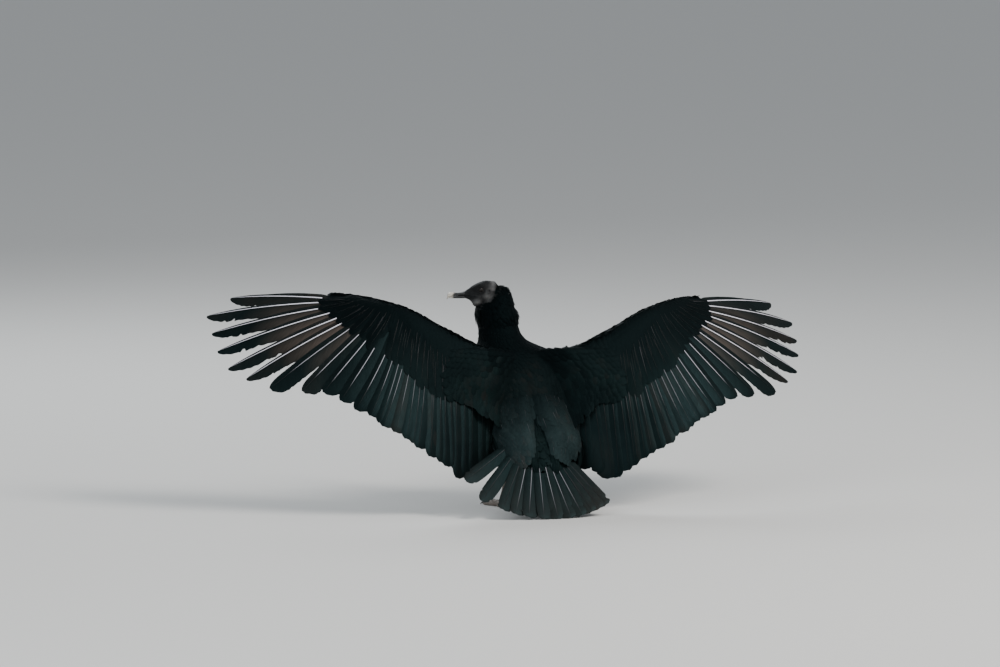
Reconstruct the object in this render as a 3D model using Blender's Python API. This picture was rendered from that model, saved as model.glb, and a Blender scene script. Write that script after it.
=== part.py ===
"""A black vulture sunning itself: it stands upright with both wings spread, the tail fanned on the floor and
the head turned to its left. Life size, in metres, +Z up. The bird faces +Y, and its right is +X.

The model is laid out on a body frame whose origin is on the floor below the hips. The last step moves the whole
bird so that the frame's origin lies on the floor under the middle of its bounding box.
"""

import math

import bmesh
import bpy
from mathutils import Matrix, Vector

# ---------------------------------------------------------------------------------------------------------
# Driving dimensions
# ---------------------------------------------------------------------------------------------------------
SIZE = 0.955  # the bird's size against the layout below, which is for a bird of the largest size
GAP = 0.0004  # clear space between neighbouring pieces
SIDES = (("left", -1.0), ("right", 1.0))

# Trunk: its back runs in a straight line from the rump up to the shoulders.
BACK_LOW = Vector((0.0, -0.083, 0.155))
BACK_HIGH = Vector((0.0, 0.060, 0.345))
TRUNK_RINGS = (  # share of the back, depth of the back line, depth of the belly, half width
    (-0.31, 0.030, 0.052, 0.030),
    (-0.25, 0.012, 0.062, 0.058),
    (-0.12, -0.002, 0.085, 0.084),
    (0.08, -0.006, 0.122, 0.098),
    (0.32, -0.002, 0.148, 0.099),
    (0.58, 0.000, 0.158, 0.097),
    (0.80, 0.002, 0.152, 0.094),
    (0.96, 0.012, 0.132, 0.082),
    (1.07, 0.026, 0.108, 0.062),
    (1.12, 0.044, 0.084, 0.034),
)

# Neck: a thick feathered column that leans to the left as it rises, and closes as a hood behind the head.
NECK_RINGS = (  # centre, half width, half depth
    ((-0.030, 0.066, 0.295), 0.058, 0.058),
    ((-0.039, 0.084, 0.342), 0.050, 0.050),
    ((-0.048, 0.096, 0.384), 0.047, 0.045),
    ((-0.051, 0.102, 0.418), 0.045, 0.043),
    ((-0.051, 0.103, 0.438), 0.041, 0.038),
    ((-0.045, 0.103, 0.457), 0.031, 0.031),
    ((-0.041, 0.103, 0.473), 0.020, 0.022),
    ((-0.039, 0.103, 0.483), 0.008, 0.009),
)

# Head: laid out round a point just behind the eyes, with +X along the bill and +Z up.
HEAD_AT = Vector((-0.082, 0.103, 0.477))
HEAD_TURN = math.radians(167.0)  # from +X to the way the bill points, seen from above
HEAD_RINGS = (  # place along the head, top, bottom, half width
    (-0.032, 0.006, -0.012, 0.008),
    (-0.024, 0.0140, -0.020, 0.0145),
    (-0.012, 0.0186, -0.030, 0.0185),
    (0.000, 0.0176, -0.034, 0.0190),
    (0.012, 0.0130, -0.033, 0.0175),
    (0.022, 0.0078, -0.027, 0.0135),
    (0.031, 0.0012, -0.0225, 0.0100),
    (0.038, -0.0034, -0.0200, 0.0085),
    (0.0411, -0.0052, -0.0195, 0.0080),
)
BILL_UPPER_RINGS = (  # place along the head, top, bottom, half width
    (0.0415, -0.0055, -0.0128, 0.0078),
    (0.050, -0.0082, -0.0138, 0.0062),
    (0.058, -0.0088, -0.0142, 0.0055),
    (0.066, -0.0072, -0.0150, 0.0056),
    (0.0725, -0.0072, -0.0168, 0.0050),
    (0.0768, -0.0102, -0.0205, 0.0036),
    (0.0785, -0.0150, -0.0228, 0.0016),
)
BILL_LOWER_RINGS = (
    (0.0415, -0.0132, -0.0194, 0.0072),
    (0.052, -0.0142, -0.0188, 0.0055),
    (0.063, -0.0151, -0.0190, 0.0046),
    (0.0700, -0.0163, -0.0192, 0.0034),
    (0.0735, -0.0176, -0.0190, 0.0014),
)
EYE_RADIUS = 0.0062
EYE_OUT = 0.0142  # from the head's midline to the eye's centre
EYE_ALONG = 0.004

# Wing planform: u runs outwards from the shoulder, v up towards the leading edge.
SHOULDER = Vector((0.050, 0.045, 0.349))  # of the right wing; the left one is its mirror image
ELBOW = Vector((0.142, -0.022))
WRIST = Vector((0.245, 0.092))
HAND_TIP = Vector((0.375, 0.122))
LEADING_EDGE = (
    Vector((-0.060, 0.000)), Vector((0.020, -0.003)), Vector((0.067, 0.008)), Vector((0.115, 0.033)),
    Vector((0.155, 0.056)), Vector((0.195, 0.082)), Vector((0.231, 0.101)), Vector((0.293, 0.123)),
    Vector((0.360, 0.136)), Vector((0.430, 0.142)),
)
PRIMARIES = (  # from the outermost in: degrees below level, degrees of bend, length
    (3.5, 14.0, 0.284),
    (11.0, 14.0, 0.342),
    (18.0, 13.0, 0.346),
    (24.5, 13.0, 0.346),
    (31.6, 12.0, 0.346),
    (37.8, 12.0, 0.333),
    (45.5, 10.0, 0.313),
    (52.0, 8.0, 0.280),
    (59.0, 7.0, 0.260),
    (64.5, 6.0, 0.258),
)
SECONDARIES = 13
SECONDARY_FALL = (66.5, 85.5)  # degrees below level, outermost and innermost
SECONDARY_LENGTH = (0.264, 0.264)
TERTIALS = 5
TERTIAL_FALL = (85.5, 83.0)
TERTIAL_LENGTH = (0.274, 0.236)
FINGER_SPLIT = (0.55, 0.55, 0.66, 0.66, 0.66, 0.55, 0.89)  # share of the length where each parts from the next
FINGER_VANES = (0.0055, 0.0240)  # width in front of and behind the shaft

# Wing in space: degrees that it sweeps forward and leans forward, by distance from the shoulder.
SWEEP = ((0.00, -10.0), (0.20, -5.0), (0.36, 20.0), (0.50, 26.0), (0.72, 41.0))
LEAN = ((0.00, 13.0), (0.15, 24.0), (0.35, 35.5), (0.62, 34.5))
ROOT_LAP = 0.040  # how far the wing's root reaches into the trunk
CAMBER = 0.010  # how far the middle of the wing bulges backwards
WING_RISE = {"left": 2.3, "right": -2.7}  # degrees that each wing is turned up about its shoulder

# Tail: a fan of rectrices round a pivot buried in the rump; the middle ones rest on the floor.
TAIL_PIVOT = Vector((-0.005, -0.030, 0.1865))
TAIL_SLOPE = math.radians(50.0)
TAIL_RADIUS = (0.060, 0.2450)
TAIL_FAN = (-53.0, -40.0, -28.5, -21.5, -14.5, -6.5, 1.0, 8.0, 14.5, 20.5, 25.5, 30.0)  # degrees, left to right
TAIL_REACH = 0.88  # length of the feather furthest left against the others
TAIL_SPLITS = (0.36, 0.36, 0.62)  # share of the length where the left outer feathers part
TAIL_VANE = 0.0150  # half width of a rectrix

# Legs
HIP = Vector((0.060, 0.072, 0.172))
HOCK = Vector((0.050, 0.014, 0.088))
ANKLE_ON_FOOT = Vector((0.055, 0.046, 0.013))
TOES = (  # name, degrees from straight ahead, length, half width
    ("inner", 24.0, 0.047, 0.0056),
    ("middle", -4.0, 0.066, 0.0062),
    ("outer", -34.0, 0.047, 0.0054),
    ("hind", 165.0, 0.022, 0.0050),
)
CLAW_LENGTH = {"inner": 0.013, "middle": 0.016, "outer": 0.011, "hind": 0.011}

COLOURS = {  # base colour, roughness
    "plumage": ((0.012, 0.018, 0.020), 0.55),
    "bare_skin": ((0.075, 0.078, 0.078), 0.60),
    "bill_horn": ((0.42, 0.38, 0.32), 0.35),
    "eye": ((0.020, 0.012, 0.008), 0.10),
    "leg_scale": ((0.20, 0.20, 0.19), 0.60),
    "claw_horn": ((0.035, 0.032, 0.030), 0.35),
}


# ---------------------------------------------------------------------------------------------------------
# Shapes
# ---------------------------------------------------------------------------------------------------------
def clear_scene():
    for thing in list(bpy.data.objects):
        bpy.data.objects.remove(thing)


def finish(name):
    """The material of this name, made once."""
    made = bpy.data.materials.get(name)
    if made is None:
        colour, roughness = COLOURS[name]
        made = bpy.data.materials.new(name)
        made.use_nodes = True
        shader = made.node_tree.nodes["Principled BSDF"]
        shader.inputs["Base Color"].default_value = (*colour, 1.0)
        shader.inputs["Roughness"].default_value = roughness
        shader.inputs["Metallic"].default_value = 0.0
    return made


def add_object(name, points, faces, material=None):
    """A mesh object of these points and faces. Without a material it is a cutter."""
    mesh = bpy.data.meshes.new(name)
    mesh.from_pydata([tuple(p) for p in points], [], faces)
    shape = bmesh.new()
    shape.from_mesh(mesh)
    bmesh.ops.triangulate(shape, faces=[f for f in shape.faces if len(f.verts) > 4])
    bmesh.ops.recalc_face_normals(shape, faces=shape.faces)
    shape.to_mesh(mesh)
    shape.free()
    mesh.shade_smooth()
    made = bpy.data.objects.new(name, mesh)
    bpy.context.scene.collection.objects.link(made)
    if material:
        mesh.materials.append(finish(material))
    else:
        made.hide_render = True
        made.display_type = "WIRE"
    return made


def boolean(target, other, operation):
    cut = target.modifiers.new(other.name, "BOOLEAN")
    cut.object = other
    cut.operation = operation
    cut.solver = "EXACT"


def mirrored(point, sign):
    return Vector((point.x * sign, point.y, point.z))


def between(keys, place):
    """A smooth curve through rows of numbers whose first number is the place along it."""
    last = len(keys) - 1
    i = next((n for n in range(last) if place <= keys[n + 1][0]), last - 1)
    low, high = keys[i], keys[i + 1]
    span = high[0] - low[0]
    t = min(max((place - low[0]) / span, 0.0), 1.0)
    before, after = keys[max(i - 1, 0)], keys[min(i + 2, last)]
    values = []
    for k in range(1, len(low)):
        slope_low = (high[k] - before[k]) / (high[0] - before[0]) * span
        slope_high = (after[k] - low[k]) / (after[0] - low[0]) * span
        values.append(
            (2 * t**3 - 3 * t**2 + 1) * low[k] + (t**3 - 2 * t**2 + t) * slope_low
            + (3 * t**2 - 2 * t**3) * high[k] + (t**3 - t**2) * slope_high
        )
    return values


def loft(name, rings, material=None, sides=20):
    """A closed body through rings, each (centre, half axis, half axis)."""
    points, faces = [], []
    for centre, across, up in rings:
        for n in range(sides):
            turn = 2 * math.pi * n / sides
            points.append(centre + across * math.cos(turn) + up * math.sin(turn))
    for r in range(len(rings) - 1):
        for n in range(sides):
            m = (n + 1) % sides
            faces.append((r * sides + n, r * sides + m, (r + 1) * sides + m, (r + 1) * sides + n))
    for r in (0, len(rings) - 1):
        points.append(rings[r][0])
        faces += [(r * sides + n, r * sides + (n + 1) % sides, len(points) - 1) for n in range(sides)]
    return add_object(name, points, faces, material)


def evened(keys, count):
    """Rows read at even steps along a table of keys."""
    low, high = keys[0][0], keys[-1][0]
    places = [low + (high - low) * n / (count - 1) for n in range(count)]
    return [(place, *between(keys, place)) for place in places]


# ---------------------------------------------------------------------------------------------------------
# Trunk and neck
# ---------------------------------------------------------------------------------------------------------
def trunk_rings(grow=0.0):
    back = BACK_HIGH - BACK_LOW
    along = back.normalized()
    belly = Vector((0.0, along.z, -along.y))
    rings = []
    for share, top, bottom, width in evened(TRUNK_RINGS, 16):
        centre = BACK_LOW + back * share + belly * (top + bottom) / 2
        rings.append((centre, Vector((width + grow, 0.0, 0.0)), belly * ((bottom - top) / 2 + grow)))
    return [moved_end(rings[0], -along * grow), *rings[1:-1], moved_end(rings[-1], along * grow)]


def moved_end(ring, step):
    return (ring[0] + step, ring[1], ring[2])


def neck_rings(grow=0.0):
    keys = [(n, *centre, width, depth) for n, (centre, width, depth) in enumerate(NECK_RINGS)]
    rows = [row[1:] for row in evened(keys, 13)]
    rings = []
    for n, (x, y, z, width, depth) in enumerate(rows):
        before, after = rows[max(n - 1, 0)], rows[min(n + 1, len(rows) - 1)]
        rise = Vector([after[k] - before[k] for k in range(3)]).normalized()
        across = Vector((0.0, 1.0, 0.0)).cross(rise).normalized()
        rings.append((Vector((x, y, z)), across * (width + grow), rise.cross(across) * (depth + grow)))
    return [rings[0], *rings[1:-1], moved_end(rings[-1], Vector((0.0, 0.0, grow)))]


def build_trunk_and_neck():
    loft("trunk", trunk_rings(), "plumage", sides=20)
    neck = loft("neck", neck_rings(), "plumage", sides=20)
    trunk_cutter = loft("cutter_trunk", trunk_rings(GAP), sides=20)
    boolean(neck, trunk_cutter, "DIFFERENCE")
    boolean(neck, loft("cutter_head", head_rings(HEAD_RINGS, 13, GAP), sides=20), "DIFFERENCE")
    return trunk_cutter, loft("cutter_neck", neck_rings(GAP), sides=20)


# ---------------------------------------------------------------------------------------------------------
# Head, bill and eyes
# ---------------------------------------------------------------------------------------------------------
def head_rings(keys, count, grow=0.0):
    place = Matrix.Translation(HEAD_AT) @ Matrix.Rotation(HEAD_TURN, 4, "Z")
    turn = place.to_3x3()
    rings = []
    for along, top, bottom, width in evened(keys, count):
        centre = place @ Vector((along, 0.0, (top + bottom) / 2))
        half = (top - bottom) / 2 + grow
        rings.append((centre, turn @ Vector((0.0, width + grow, 0.0)), turn @ Vector((0.0, 0.0, half))))
    nape = turn @ Vector((-grow, 0.0, 0.0))
    return [moved_end(rings[0], nape), *rings[1:]]


def add_ball(name, centre, radius, material=None):
    shape = bmesh.new()
    bmesh.ops.create_icosphere(shape, subdivisions=2, radius=radius)
    points = [centre + v.co for v in shape.verts]
    faces = [[v.index for v in f.verts] for f in shape.faces]
    shape.free()
    return add_object(name, points, faces, material)


def build_head():
    place = Matrix.Translation(HEAD_AT) @ Matrix.Rotation(HEAD_TURN, 4, "Z")
    head = loft("head", head_rings(HEAD_RINGS, 13), "bare_skin", sides=20)
    loft("bill_upper", head_rings(BILL_UPPER_RINGS, 10), "bill_horn", sides=12)
    loft("bill_lower", head_rings(BILL_LOWER_RINGS, 6), "bill_horn", sides=10)
    for side, sign in SIDES:
        centre = place @ Vector((EYE_ALONG, -sign * EYE_OUT, 0.0))
        add_ball("eye_" + side, centre, EYE_RADIUS, "eye")
        boolean(head, add_ball("cutter_eye_" + side, centre, EYE_RADIUS + GAP), "DIFFERENCE")


# ---------------------------------------------------------------------------------------------------------
# Sheets: wings and tail are thin shells of one grid each, thick at the arm and thin at the feather tips
# ---------------------------------------------------------------------------------------------------------
def arc(base, fall, bend, length, share):
    """A point on a feather's shaft in its own plane. The shaft falls below level and bends further down."""
    start, turn = math.radians(fall - bend / 2), math.radians(bend)
    end = start + turn * share
    run = (math.sin(end) - math.sin(start)) / turn
    drop = (math.cos(start) - math.cos(end)) / turn
    return base + Vector((run, -drop)) * length


def lerp(low, high, share):
    return low + (high - low) * share


def wing_feathers():
    """(base, fall, bend, length) of each flight feather, from the outermost primary to the innermost tertial."""
    rows = []
    for n, (fall, bend, length) in enumerate(PRIMARIES):
        rows.append((lerp(HAND_TIP, WRIST, n / len(PRIMARIES)), fall, bend, length))
    for n in range(SECONDARIES):
        share = (n + 0.5) / SECONDARIES
        fall = lerp(*SECONDARY_FALL, share**0.65)
        rows.append((WRIST.lerp(ELBOW, share), fall, 4.0, lerp(*SECONDARY_LENGTH, share)))
    for n in range(TERTIALS):
        share = (n + 0.5) / TERTIALS
        base = ELBOW.lerp(Vector((0.030, -0.004)), share)
        length = lerp(*TERTIAL_LENGTH, share) + 0.018 * math.sin(math.pi * share)
        rows.append((base, lerp(*TERTIAL_FALL, share), 2.0, length))
    return rows


def leading_edge(u):
    return Vector((u, between([tuple(p) for p in LEADING_EDGE], u)[0]))


def front_of(base):
    """The point of the leading edge that a feather's ray starts from."""
    lead = between(((0.0, 0.004), (0.14, -0.004), (0.24, 0.010), (0.36, 0.026)), base.x)[0]
    return leading_edge(base.x + lead)


WING_ROWS = (-1.0, -0.5, 0.0, 0.25, 0.55, 0.66, 0.89, 0.975, 1.0)  # below 0: ahead of the bone


def shaft_point(feather, row):
    base = feather[0]
    if row < 0:
        return base.lerp(front_of(base), -row)
    return arc(*feather, row)


def edge_point(feather, row, side):
    """A point of a finger's front (side -1) or rear (side 1) edge."""
    taper = math.sqrt(max(1.0 - max((row - 0.62) / 0.385, 0.0) ** 2.2, 0.0))
    here, step = shaft_point(feather, row), arc(*feather, row) - arc(*feather, row - 0.02)
    rear = Vector((step.y, -step.x)).normalized()
    return here + rear * side * FINGER_VANES[0 if side < 0 else 1] * taper


def wing_place(side, u, v, lift=0.0):
    """A point of the wing's plane in space. lift is its distance behind the plane."""
    sign = dict(SIDES)[side]
    steps = max(int(abs(u) / 0.02), 1)
    shoulder = mirrored(SHOULDER, sign)
    at = shoulder.copy()
    for n in range(steps):
        sweep = math.radians(between(SWEEP, u * (n + 0.5) / steps)[0])
        at += Vector((sign * math.cos(sweep), math.sin(sweep), 0.0)) * u / steps
    sweep, lean = math.radians(between(SWEEP, u)[0]), math.radians(between(LEAN, u)[0])
    ahead = Vector((-sign * math.sin(sweep), math.cos(sweep), 0.0))
    up = Vector((0.0, 0.0, 1.0))
    bulge = CAMBER * (1.0 - ((v + 0.06) / 0.17) ** 2)
    at += (ahead * math.sin(lean) + up * math.cos(lean)) * v
    at += (up * math.sin(lean) - ahead * math.cos(lean)) * (lift + bulge)
    turn = Matrix.Rotation(math.radians(-sign * WING_RISE[side]), 4, "Y")
    return shoulder + turn @ (at - shoulder)


def wing_thickness(u, row):
    arm = between(((-0.9, 0.005), (-0.5, 0.017), (0.0, 0.020), (0.2, 0.012), (0.45, 0.004), (0.7, 0.0018), (1.0, 0.0012)), row)[0]
    hand = between(((-0.9, 0.004), (-0.5, 0.009), (0.0, 0.010), (0.2, 0.006), (0.45, 0.0026), (0.7, 0.0016), (1.0, 0.0012)), row)[0]
    share = min(max((u - 0.16) / 0.14, 0.0), 1.0)
    return lerp(arm, hand, share)


class Sheet:
    """A grid of points with a thickness, which turns into closed shells."""

    def __init__(self):
        self.points, self.thickness, self.quads, self.owner = [], [], [], []

    def add(self, point, thickness):
        self.points.append(point)
        self.thickness.append(thickness)
        return len(self.points) - 1

    def strip(self, left, right, owner):
        """Quads between two columns of point numbers."""
        for a, b, c, d in zip(left, right, right[1:], left[1:]):
            corners = [n for k, n in enumerate((a, b, c, d)) if n not in (a, b, c, d)[:k]]
            if len(corners) > 2:
                self.quads.append(corners)
                self.owner.append(owner)

    def normals(self):
        found = [Vector() for _ in self.points]
        for quad in self.quads:
            corners = [self.points[n] for n in quad]
            face = (corners[2] - corners[0]).cross(corners[-1] - corners[1])
            for n in quad:
                found[n] += face
        return [n.normalized() for n in found]

    def shell(self, name, owner, shift, material):
        """The quads of one owner as a closed shell. shift moves a point away from the neighbouring owner."""
        normals = self.normals()
        quads = [q for q, o in zip(self.quads, self.owner) if o == owner]
        shared = {n for q, o in zip(self.quads, self.owner) if o != owner for n in q}
        used = sorted({n for q in quads for n in q})
        centre = sum((self.points[n] for n in used), Vector()) / len(used)
        top, points = {}, []
        for n in used:
            at = self.points[n].copy()
            if n in shared:
                at += shift(at, centre)
            top[n] = len(points)
            half = normals[n] * self.thickness[n] / 2
            points += [Vector((p.x, p.y, max(p.z, 0.0))) for p in (at + half, at - half)]
        faces, open_edges = [], {}
        for quad in quads:
            faces += [[top[n] for n in quad], [top[n] + 1 for n in reversed(quad)]]
            for a, b in zip(quad, quad[1:] + quad[:1]):
                if open_edges.pop((b, a), None) is None:
                    open_edges[(a, b)] = True
        faces += [[top[b], top[a], top[a] + 1, top[b] + 1] for a, b in open_edges]
        return add_object(name, points, faces, material)


def wing_sheet(side):
    feathers = wing_feathers()
    sheet = Sheet()

    def column(spot, rows):
        made = []
        for row in rows:
            flat = spot(row)
            made.append(sheet.add(wing_place(side, flat.x, flat.y), wing_thickness(flat.x, row)))
        return made

    hand, forearm = len(PRIMARIES), len(PRIMARIES) + SECONDARIES
    outer = column(lambda row: outer_edge(feathers[0], row), WING_ROWS)
    for n, feather in enumerate(feathers):
        owner = "hand" if n < hand else "forearm" if n < forearm else "arm"
        middle = column(lambda row: shaft_point(feather, row), WING_ROWS)
        outer[-1] = middle[-1]
        if n + 1 < len(feathers):
            following = feathers[n + 1]
            split = FINGER_SPLIT[n] if n < len(FINGER_SPLIT) else WING_ROWS[-2]
            whole = [row for row in WING_ROWS if row <= split + 1e-6]
            shared = column(lambda row: (shaft_point(feather, row) + shaft_point(following, row)) / 2, whole)
            loose = WING_ROWS[len(whole):]
            inner = shared + column(lambda row: tip_edge(feather, following, row, split, 1), loose)
            next_outer = shared + column(lambda row: tip_edge(following, feather, row, split, -1), loose)
        else:
            inner = column(lambda row: shaft_point(feather, row) - Vector((ROOT_LAP * (1.0 - max(row, 0.0)) + 0.012, 0.0)), WING_ROWS)
            next_outer = inner
        inner[-1] = middle[-1]
        sheet.strip(outer, middle, owner)
        sheet.strip(middle, inner, owner)
        outer = next_outer
    return sheet


def outer_edge(feather, row):
    """The front edge of the outermost primary, which carries on from the leading edge."""
    if row < 0:
        return leading_edge(front_of(feather[0]).x + 0.012).lerp(edge_point(feather, 0.0, -1), 1 + row)
    return edge_point(feather, row, -1)


def tip_edge(feather, neighbour, row, split, side):
    """A loose edge past the split: it leaves the shared line and comes to the finger's own width."""
    shared = (shaft_point(feather, row) + shaft_point(neighbour, row)) / 2
    own = edge_point(feather, row, side)
    middle = shaft_point(feather, row)
    if (shared - middle).length < (own - middle).length:
        own = middle.lerp(shared, 0.93)
    return own


def build_wings(trunk_cutter, neck_cutter):
    for side, sign in SIDES:
        sheet = wing_sheet(side)

        def apart(at, centre):
            away = centre - at
            return Vector((math.copysign(GAP, away.x), 0.0, 0.0))

        for owner in ("hand", "forearm", "arm"):
            made = sheet.shell(f"wing_{side}_{owner}", owner, apart, "plumage")
            if owner == "arm":
                boolean(made, trunk_cutter, "DIFFERENCE")
                boolean(made, neck_cutter, "DIFFERENCE")


# ---------------------------------------------------------------------------------------------------------
# Tail
# ---------------------------------------------------------------------------------------------------------
TAIL_ROWS = (0.0, 0.36, 0.62, 0.80, 0.94, 0.985, 1.0)


def tail_place(degrees, radius, aside=0.0):
    turn = math.radians(degrees)
    across = math.sin(turn) * radius + math.cos(turn) * aside
    down = math.cos(turn) * radius - math.sin(turn) * aside
    slope = Vector((0.0, -math.cos(TAIL_SLOPE), -math.sin(TAIL_SLOPE)))
    back = Vector((0.0, -math.sin(TAIL_SLOPE), math.cos(TAIL_SLOPE)))
    arch = 0.10 * across**2 / TAIL_RADIUS[1]
    return TAIL_PIVOT + Vector((across, 0.0, 0.0)) + slope * down + back * arch


def build_tail(trunk_cutter):
    sheet = Sheet()

    def column(degrees, rows, aside=None):
        reach = lerp(TAIL_REACH, 1.0, min(max((degrees - TAIL_FAN[0]) / (TAIL_FAN[2] - TAIL_FAN[0]), 0.0), 1.0))
        made = []
        for row in rows:
            radius = lerp(*TAIL_RADIUS, row) * lerp(1.0, reach, row)
            off = aside(row) if aside else 0.0
            made.append(sheet.add(tail_place(degrees, radius, off), lerp(0.0075, 0.0012, min(row * 1.6, 1.0))))
        return made

    def rounded(row):
        return TAIL_VANE * math.sqrt(max(1.0 - max((row - 0.80) / 0.205, 0.0) ** 2, 0.0))

    outer = column(TAIL_FAN[0], TAIL_ROWS, lambda row: -rounded(row))
    for n, degrees in enumerate(TAIL_FAN):
        middle = column(degrees, TAIL_ROWS)
        outer[-1] = middle[-1]
        if n + 1 < len(TAIL_FAN):
            split = TAIL_SPLITS[n] if n < len(TAIL_SPLITS) else TAIL_ROWS[-2]
            whole = [row for row in TAIL_ROWS if row <= split + 1e-6]
            loose = TAIL_ROWS[len(whole):]
            half = (TAIL_FAN[n + 1] - degrees) / 2
            shared = column(degrees + half, whole)

            def vane(row):
                room = math.tan(math.radians(half)) * lerp(*TAIL_RADIUS, row) * 0.93
                return min(rounded(row), room)

            inner = shared + column(degrees, loose, vane)
            following = shared + column(TAIL_FAN[n + 1], loose, lambda row: -vane(row))
        else:
            inner = column(degrees, TAIL_ROWS, rounded)
            following = inner
        inner[-1] = middle[-1]
        sheet.strip(outer, middle, "tail")
        sheet.strip(middle, inner, "tail")
        outer = following
    tail = sheet.shell("tail", "tail", None, "plumage")
    boolean(tail, trunk_cutter, "DIFFERENCE")


def floor_cutter():
    """A block whose top is the floor."""
    shape = bmesh.new()
    bmesh.ops.create_cube(shape, size=1.0, matrix=Matrix.Translation((0.0, 0.0, -0.5)))
    points = [v.co.copy() for v in shape.verts]
    faces = [[v.index for v in f.verts] for f in shape.faces]
    shape.free()
    return add_object("cutter_floor", points, faces)


# ---------------------------------------------------------------------------------------------------------
# Legs and feet
# ---------------------------------------------------------------------------------------------------------
def limb(name, path, material=None, sides=12):
    """A round limb along (point, radius) rows."""
    rings = []
    for n, (at, radius) in enumerate(path):
        before, after = path[max(n - 1, 0)][0], path[min(n + 1, len(path) - 1)][0]
        along = (after - before).normalized()
        across = along.cross(Vector((1.0, 0.0, 0.0))).normalized()
        rings.append((at, across * radius, along.cross(across) * radius))
    return loft(name, rings, material, sides)


def toe(name, start, heading, length, width, material=None):
    """A toe with a knuckle at each joint, which reaches a little below the floor."""
    along = Vector((math.sin(heading), math.cos(heading), 0.0))
    across = Vector((along.y, -along.x, 0.0))
    rings = []
    for n in range(6):
        share = n / 5
        radius = width * (1.12 - 0.42 * share + 0.08 * math.cos(share * 6 * math.pi))
        at = start + along * length * share + Vector((0.0, 0.0, radius * 0.92))
        rings.append((at, across * radius, Vector((0.0, 0.0, radius * 1.04))))
    return loft(name, rings, material, 7)


def claw(name, start, heading, length):
    """A curved horn that leaves the toe's end and comes down to the floor."""
    along = Vector((math.sin(heading), math.cos(heading), 0.0))
    across = Vector((along.y, -along.x, 0.0))
    rings = []
    for n in range(5):
        share = n / 4
        drop = 0.0042 - 0.0032 * share**2 + 0.0012 * math.sin(share * math.pi)
        radius = 0.0030 * (1 - share) + 0.0007
        at = start + along * length * share + Vector((0.0, 0.0, drop))
        rings.append((at, across * radius, Vector((0.0, 0.0, radius))))
    return loft(name, rings, "claw_horn", 6)


def build_legs(trunk_cutter):
    floor = floor_cutter()
    for side, sign in SIDES:
        hip, hock, ankle = (mirrored(p, sign) for p in (HIP, HOCK, ANKLE_ON_FOOT))
        shares = ((0.0, 0.040), (0.25, 0.041), (0.5, 0.034), (0.75, 0.023), (0.95, 0.0145), (1.0, 0.011))
        thigh = limb(f"thigh_{side}", [(hip.lerp(hock, s), r) for s, r in shares], "plumage", 14)
        boolean(thigh, trunk_cutter, "DIFFERENCE")
        shank_rows = ((0.0, 0.0078), (0.08, 0.0082), (0.25, 0.0060), (0.7, 0.0054), (0.9, 0.0066), (1.0, 0.0070))
        shank = limb(f"shank_{side}", [(hock.lerp(ankle, s), r) for s, r in shank_rows], "leg_scale", 12)
        sole = Vector((ankle.x, ankle.y, 0.0))
        foot = pad(f"foot_{side}", sole, 0.0, "leg_scale")
        boolean(shank, pad(f"cutter_foot_{side}", sole, GAP), "DIFFERENCE")
        sleeve = limb(f"cutter_thigh_{side}", [(hip.lerp(hock, s), r + GAP) for s, r in shares], sides=14)
        boolean(shank, sleeve, "DIFFERENCE")
        for name, degrees, length, width in TOES:
            heading = math.radians(degrees) * -sign
            ahead = Vector((math.sin(heading), math.cos(heading), 0.0))
            boolean(foot, toe(f"cutter_toe_{name}_{side}", sole + ahead * 0.004, heading, length, width), "UNION")
            claw(f"claw_{name}_{side}", sole + ahead * (0.004 + length + GAP), heading, CLAW_LENGTH[name])
        boolean(foot, floor, "DIFFERENCE")


def pad(name, sole, grow, material=None):
    """The round pad that the toes leave, from just below the floor up to the ankle."""
    rings = []
    for height, radius in ((-0.0015, 0.0112), (0.0060, 0.0118), (0.0118, 0.0100), (0.0145, 0.0060)):
        across = Vector((radius + grow, 0.0, 0.0))
        rings.append((sole + Vector((0.0, 0.0, height + grow)), across, Vector((0.0, radius + grow, 0.0))))
    return loft(name, rings, material, 14)


# ---------------------------------------------------------------------------------------------------------
# Assembly
# ---------------------------------------------------------------------------------------------------------
def centre_on_floor():
    """Brings the bird to its size, and its origin to the floor under the middle of its box."""
    for thing in bpy.data.objects:
        thing.data.transform(Matrix.Scale(SIZE, 4))
    bpy.context.view_layer.update()
    graph = bpy.context.evaluated_depsgraph_get()
    shown = [o for o in bpy.data.objects if o.type == "MESH" and not o.hide_render]
    corners = [Vector(c) for o in shown for c in o.evaluated_get(graph).bound_box]
    middle = [(min(c[k] for c in corners) + max(c[k] for c in corners)) / 2 for k in (0, 1)]
    for thing in bpy.data.objects:
        thing.location = (-middle[0], -middle[1], 0.0)


def main():
    clear_scene()
    trunk_cutter, neck_cutter = build_trunk_and_neck()
    build_head()
    build_wings(trunk_cutter, neck_cutter)
    build_tail(trunk_cutter)
    build_legs(trunk_cutter)
    centre_on_floor()


if __name__ == "__main__":
    main()
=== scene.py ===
import math

import bmesh
import bpy
import numpy as np
from mathutils import Matrix, Vector


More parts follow.
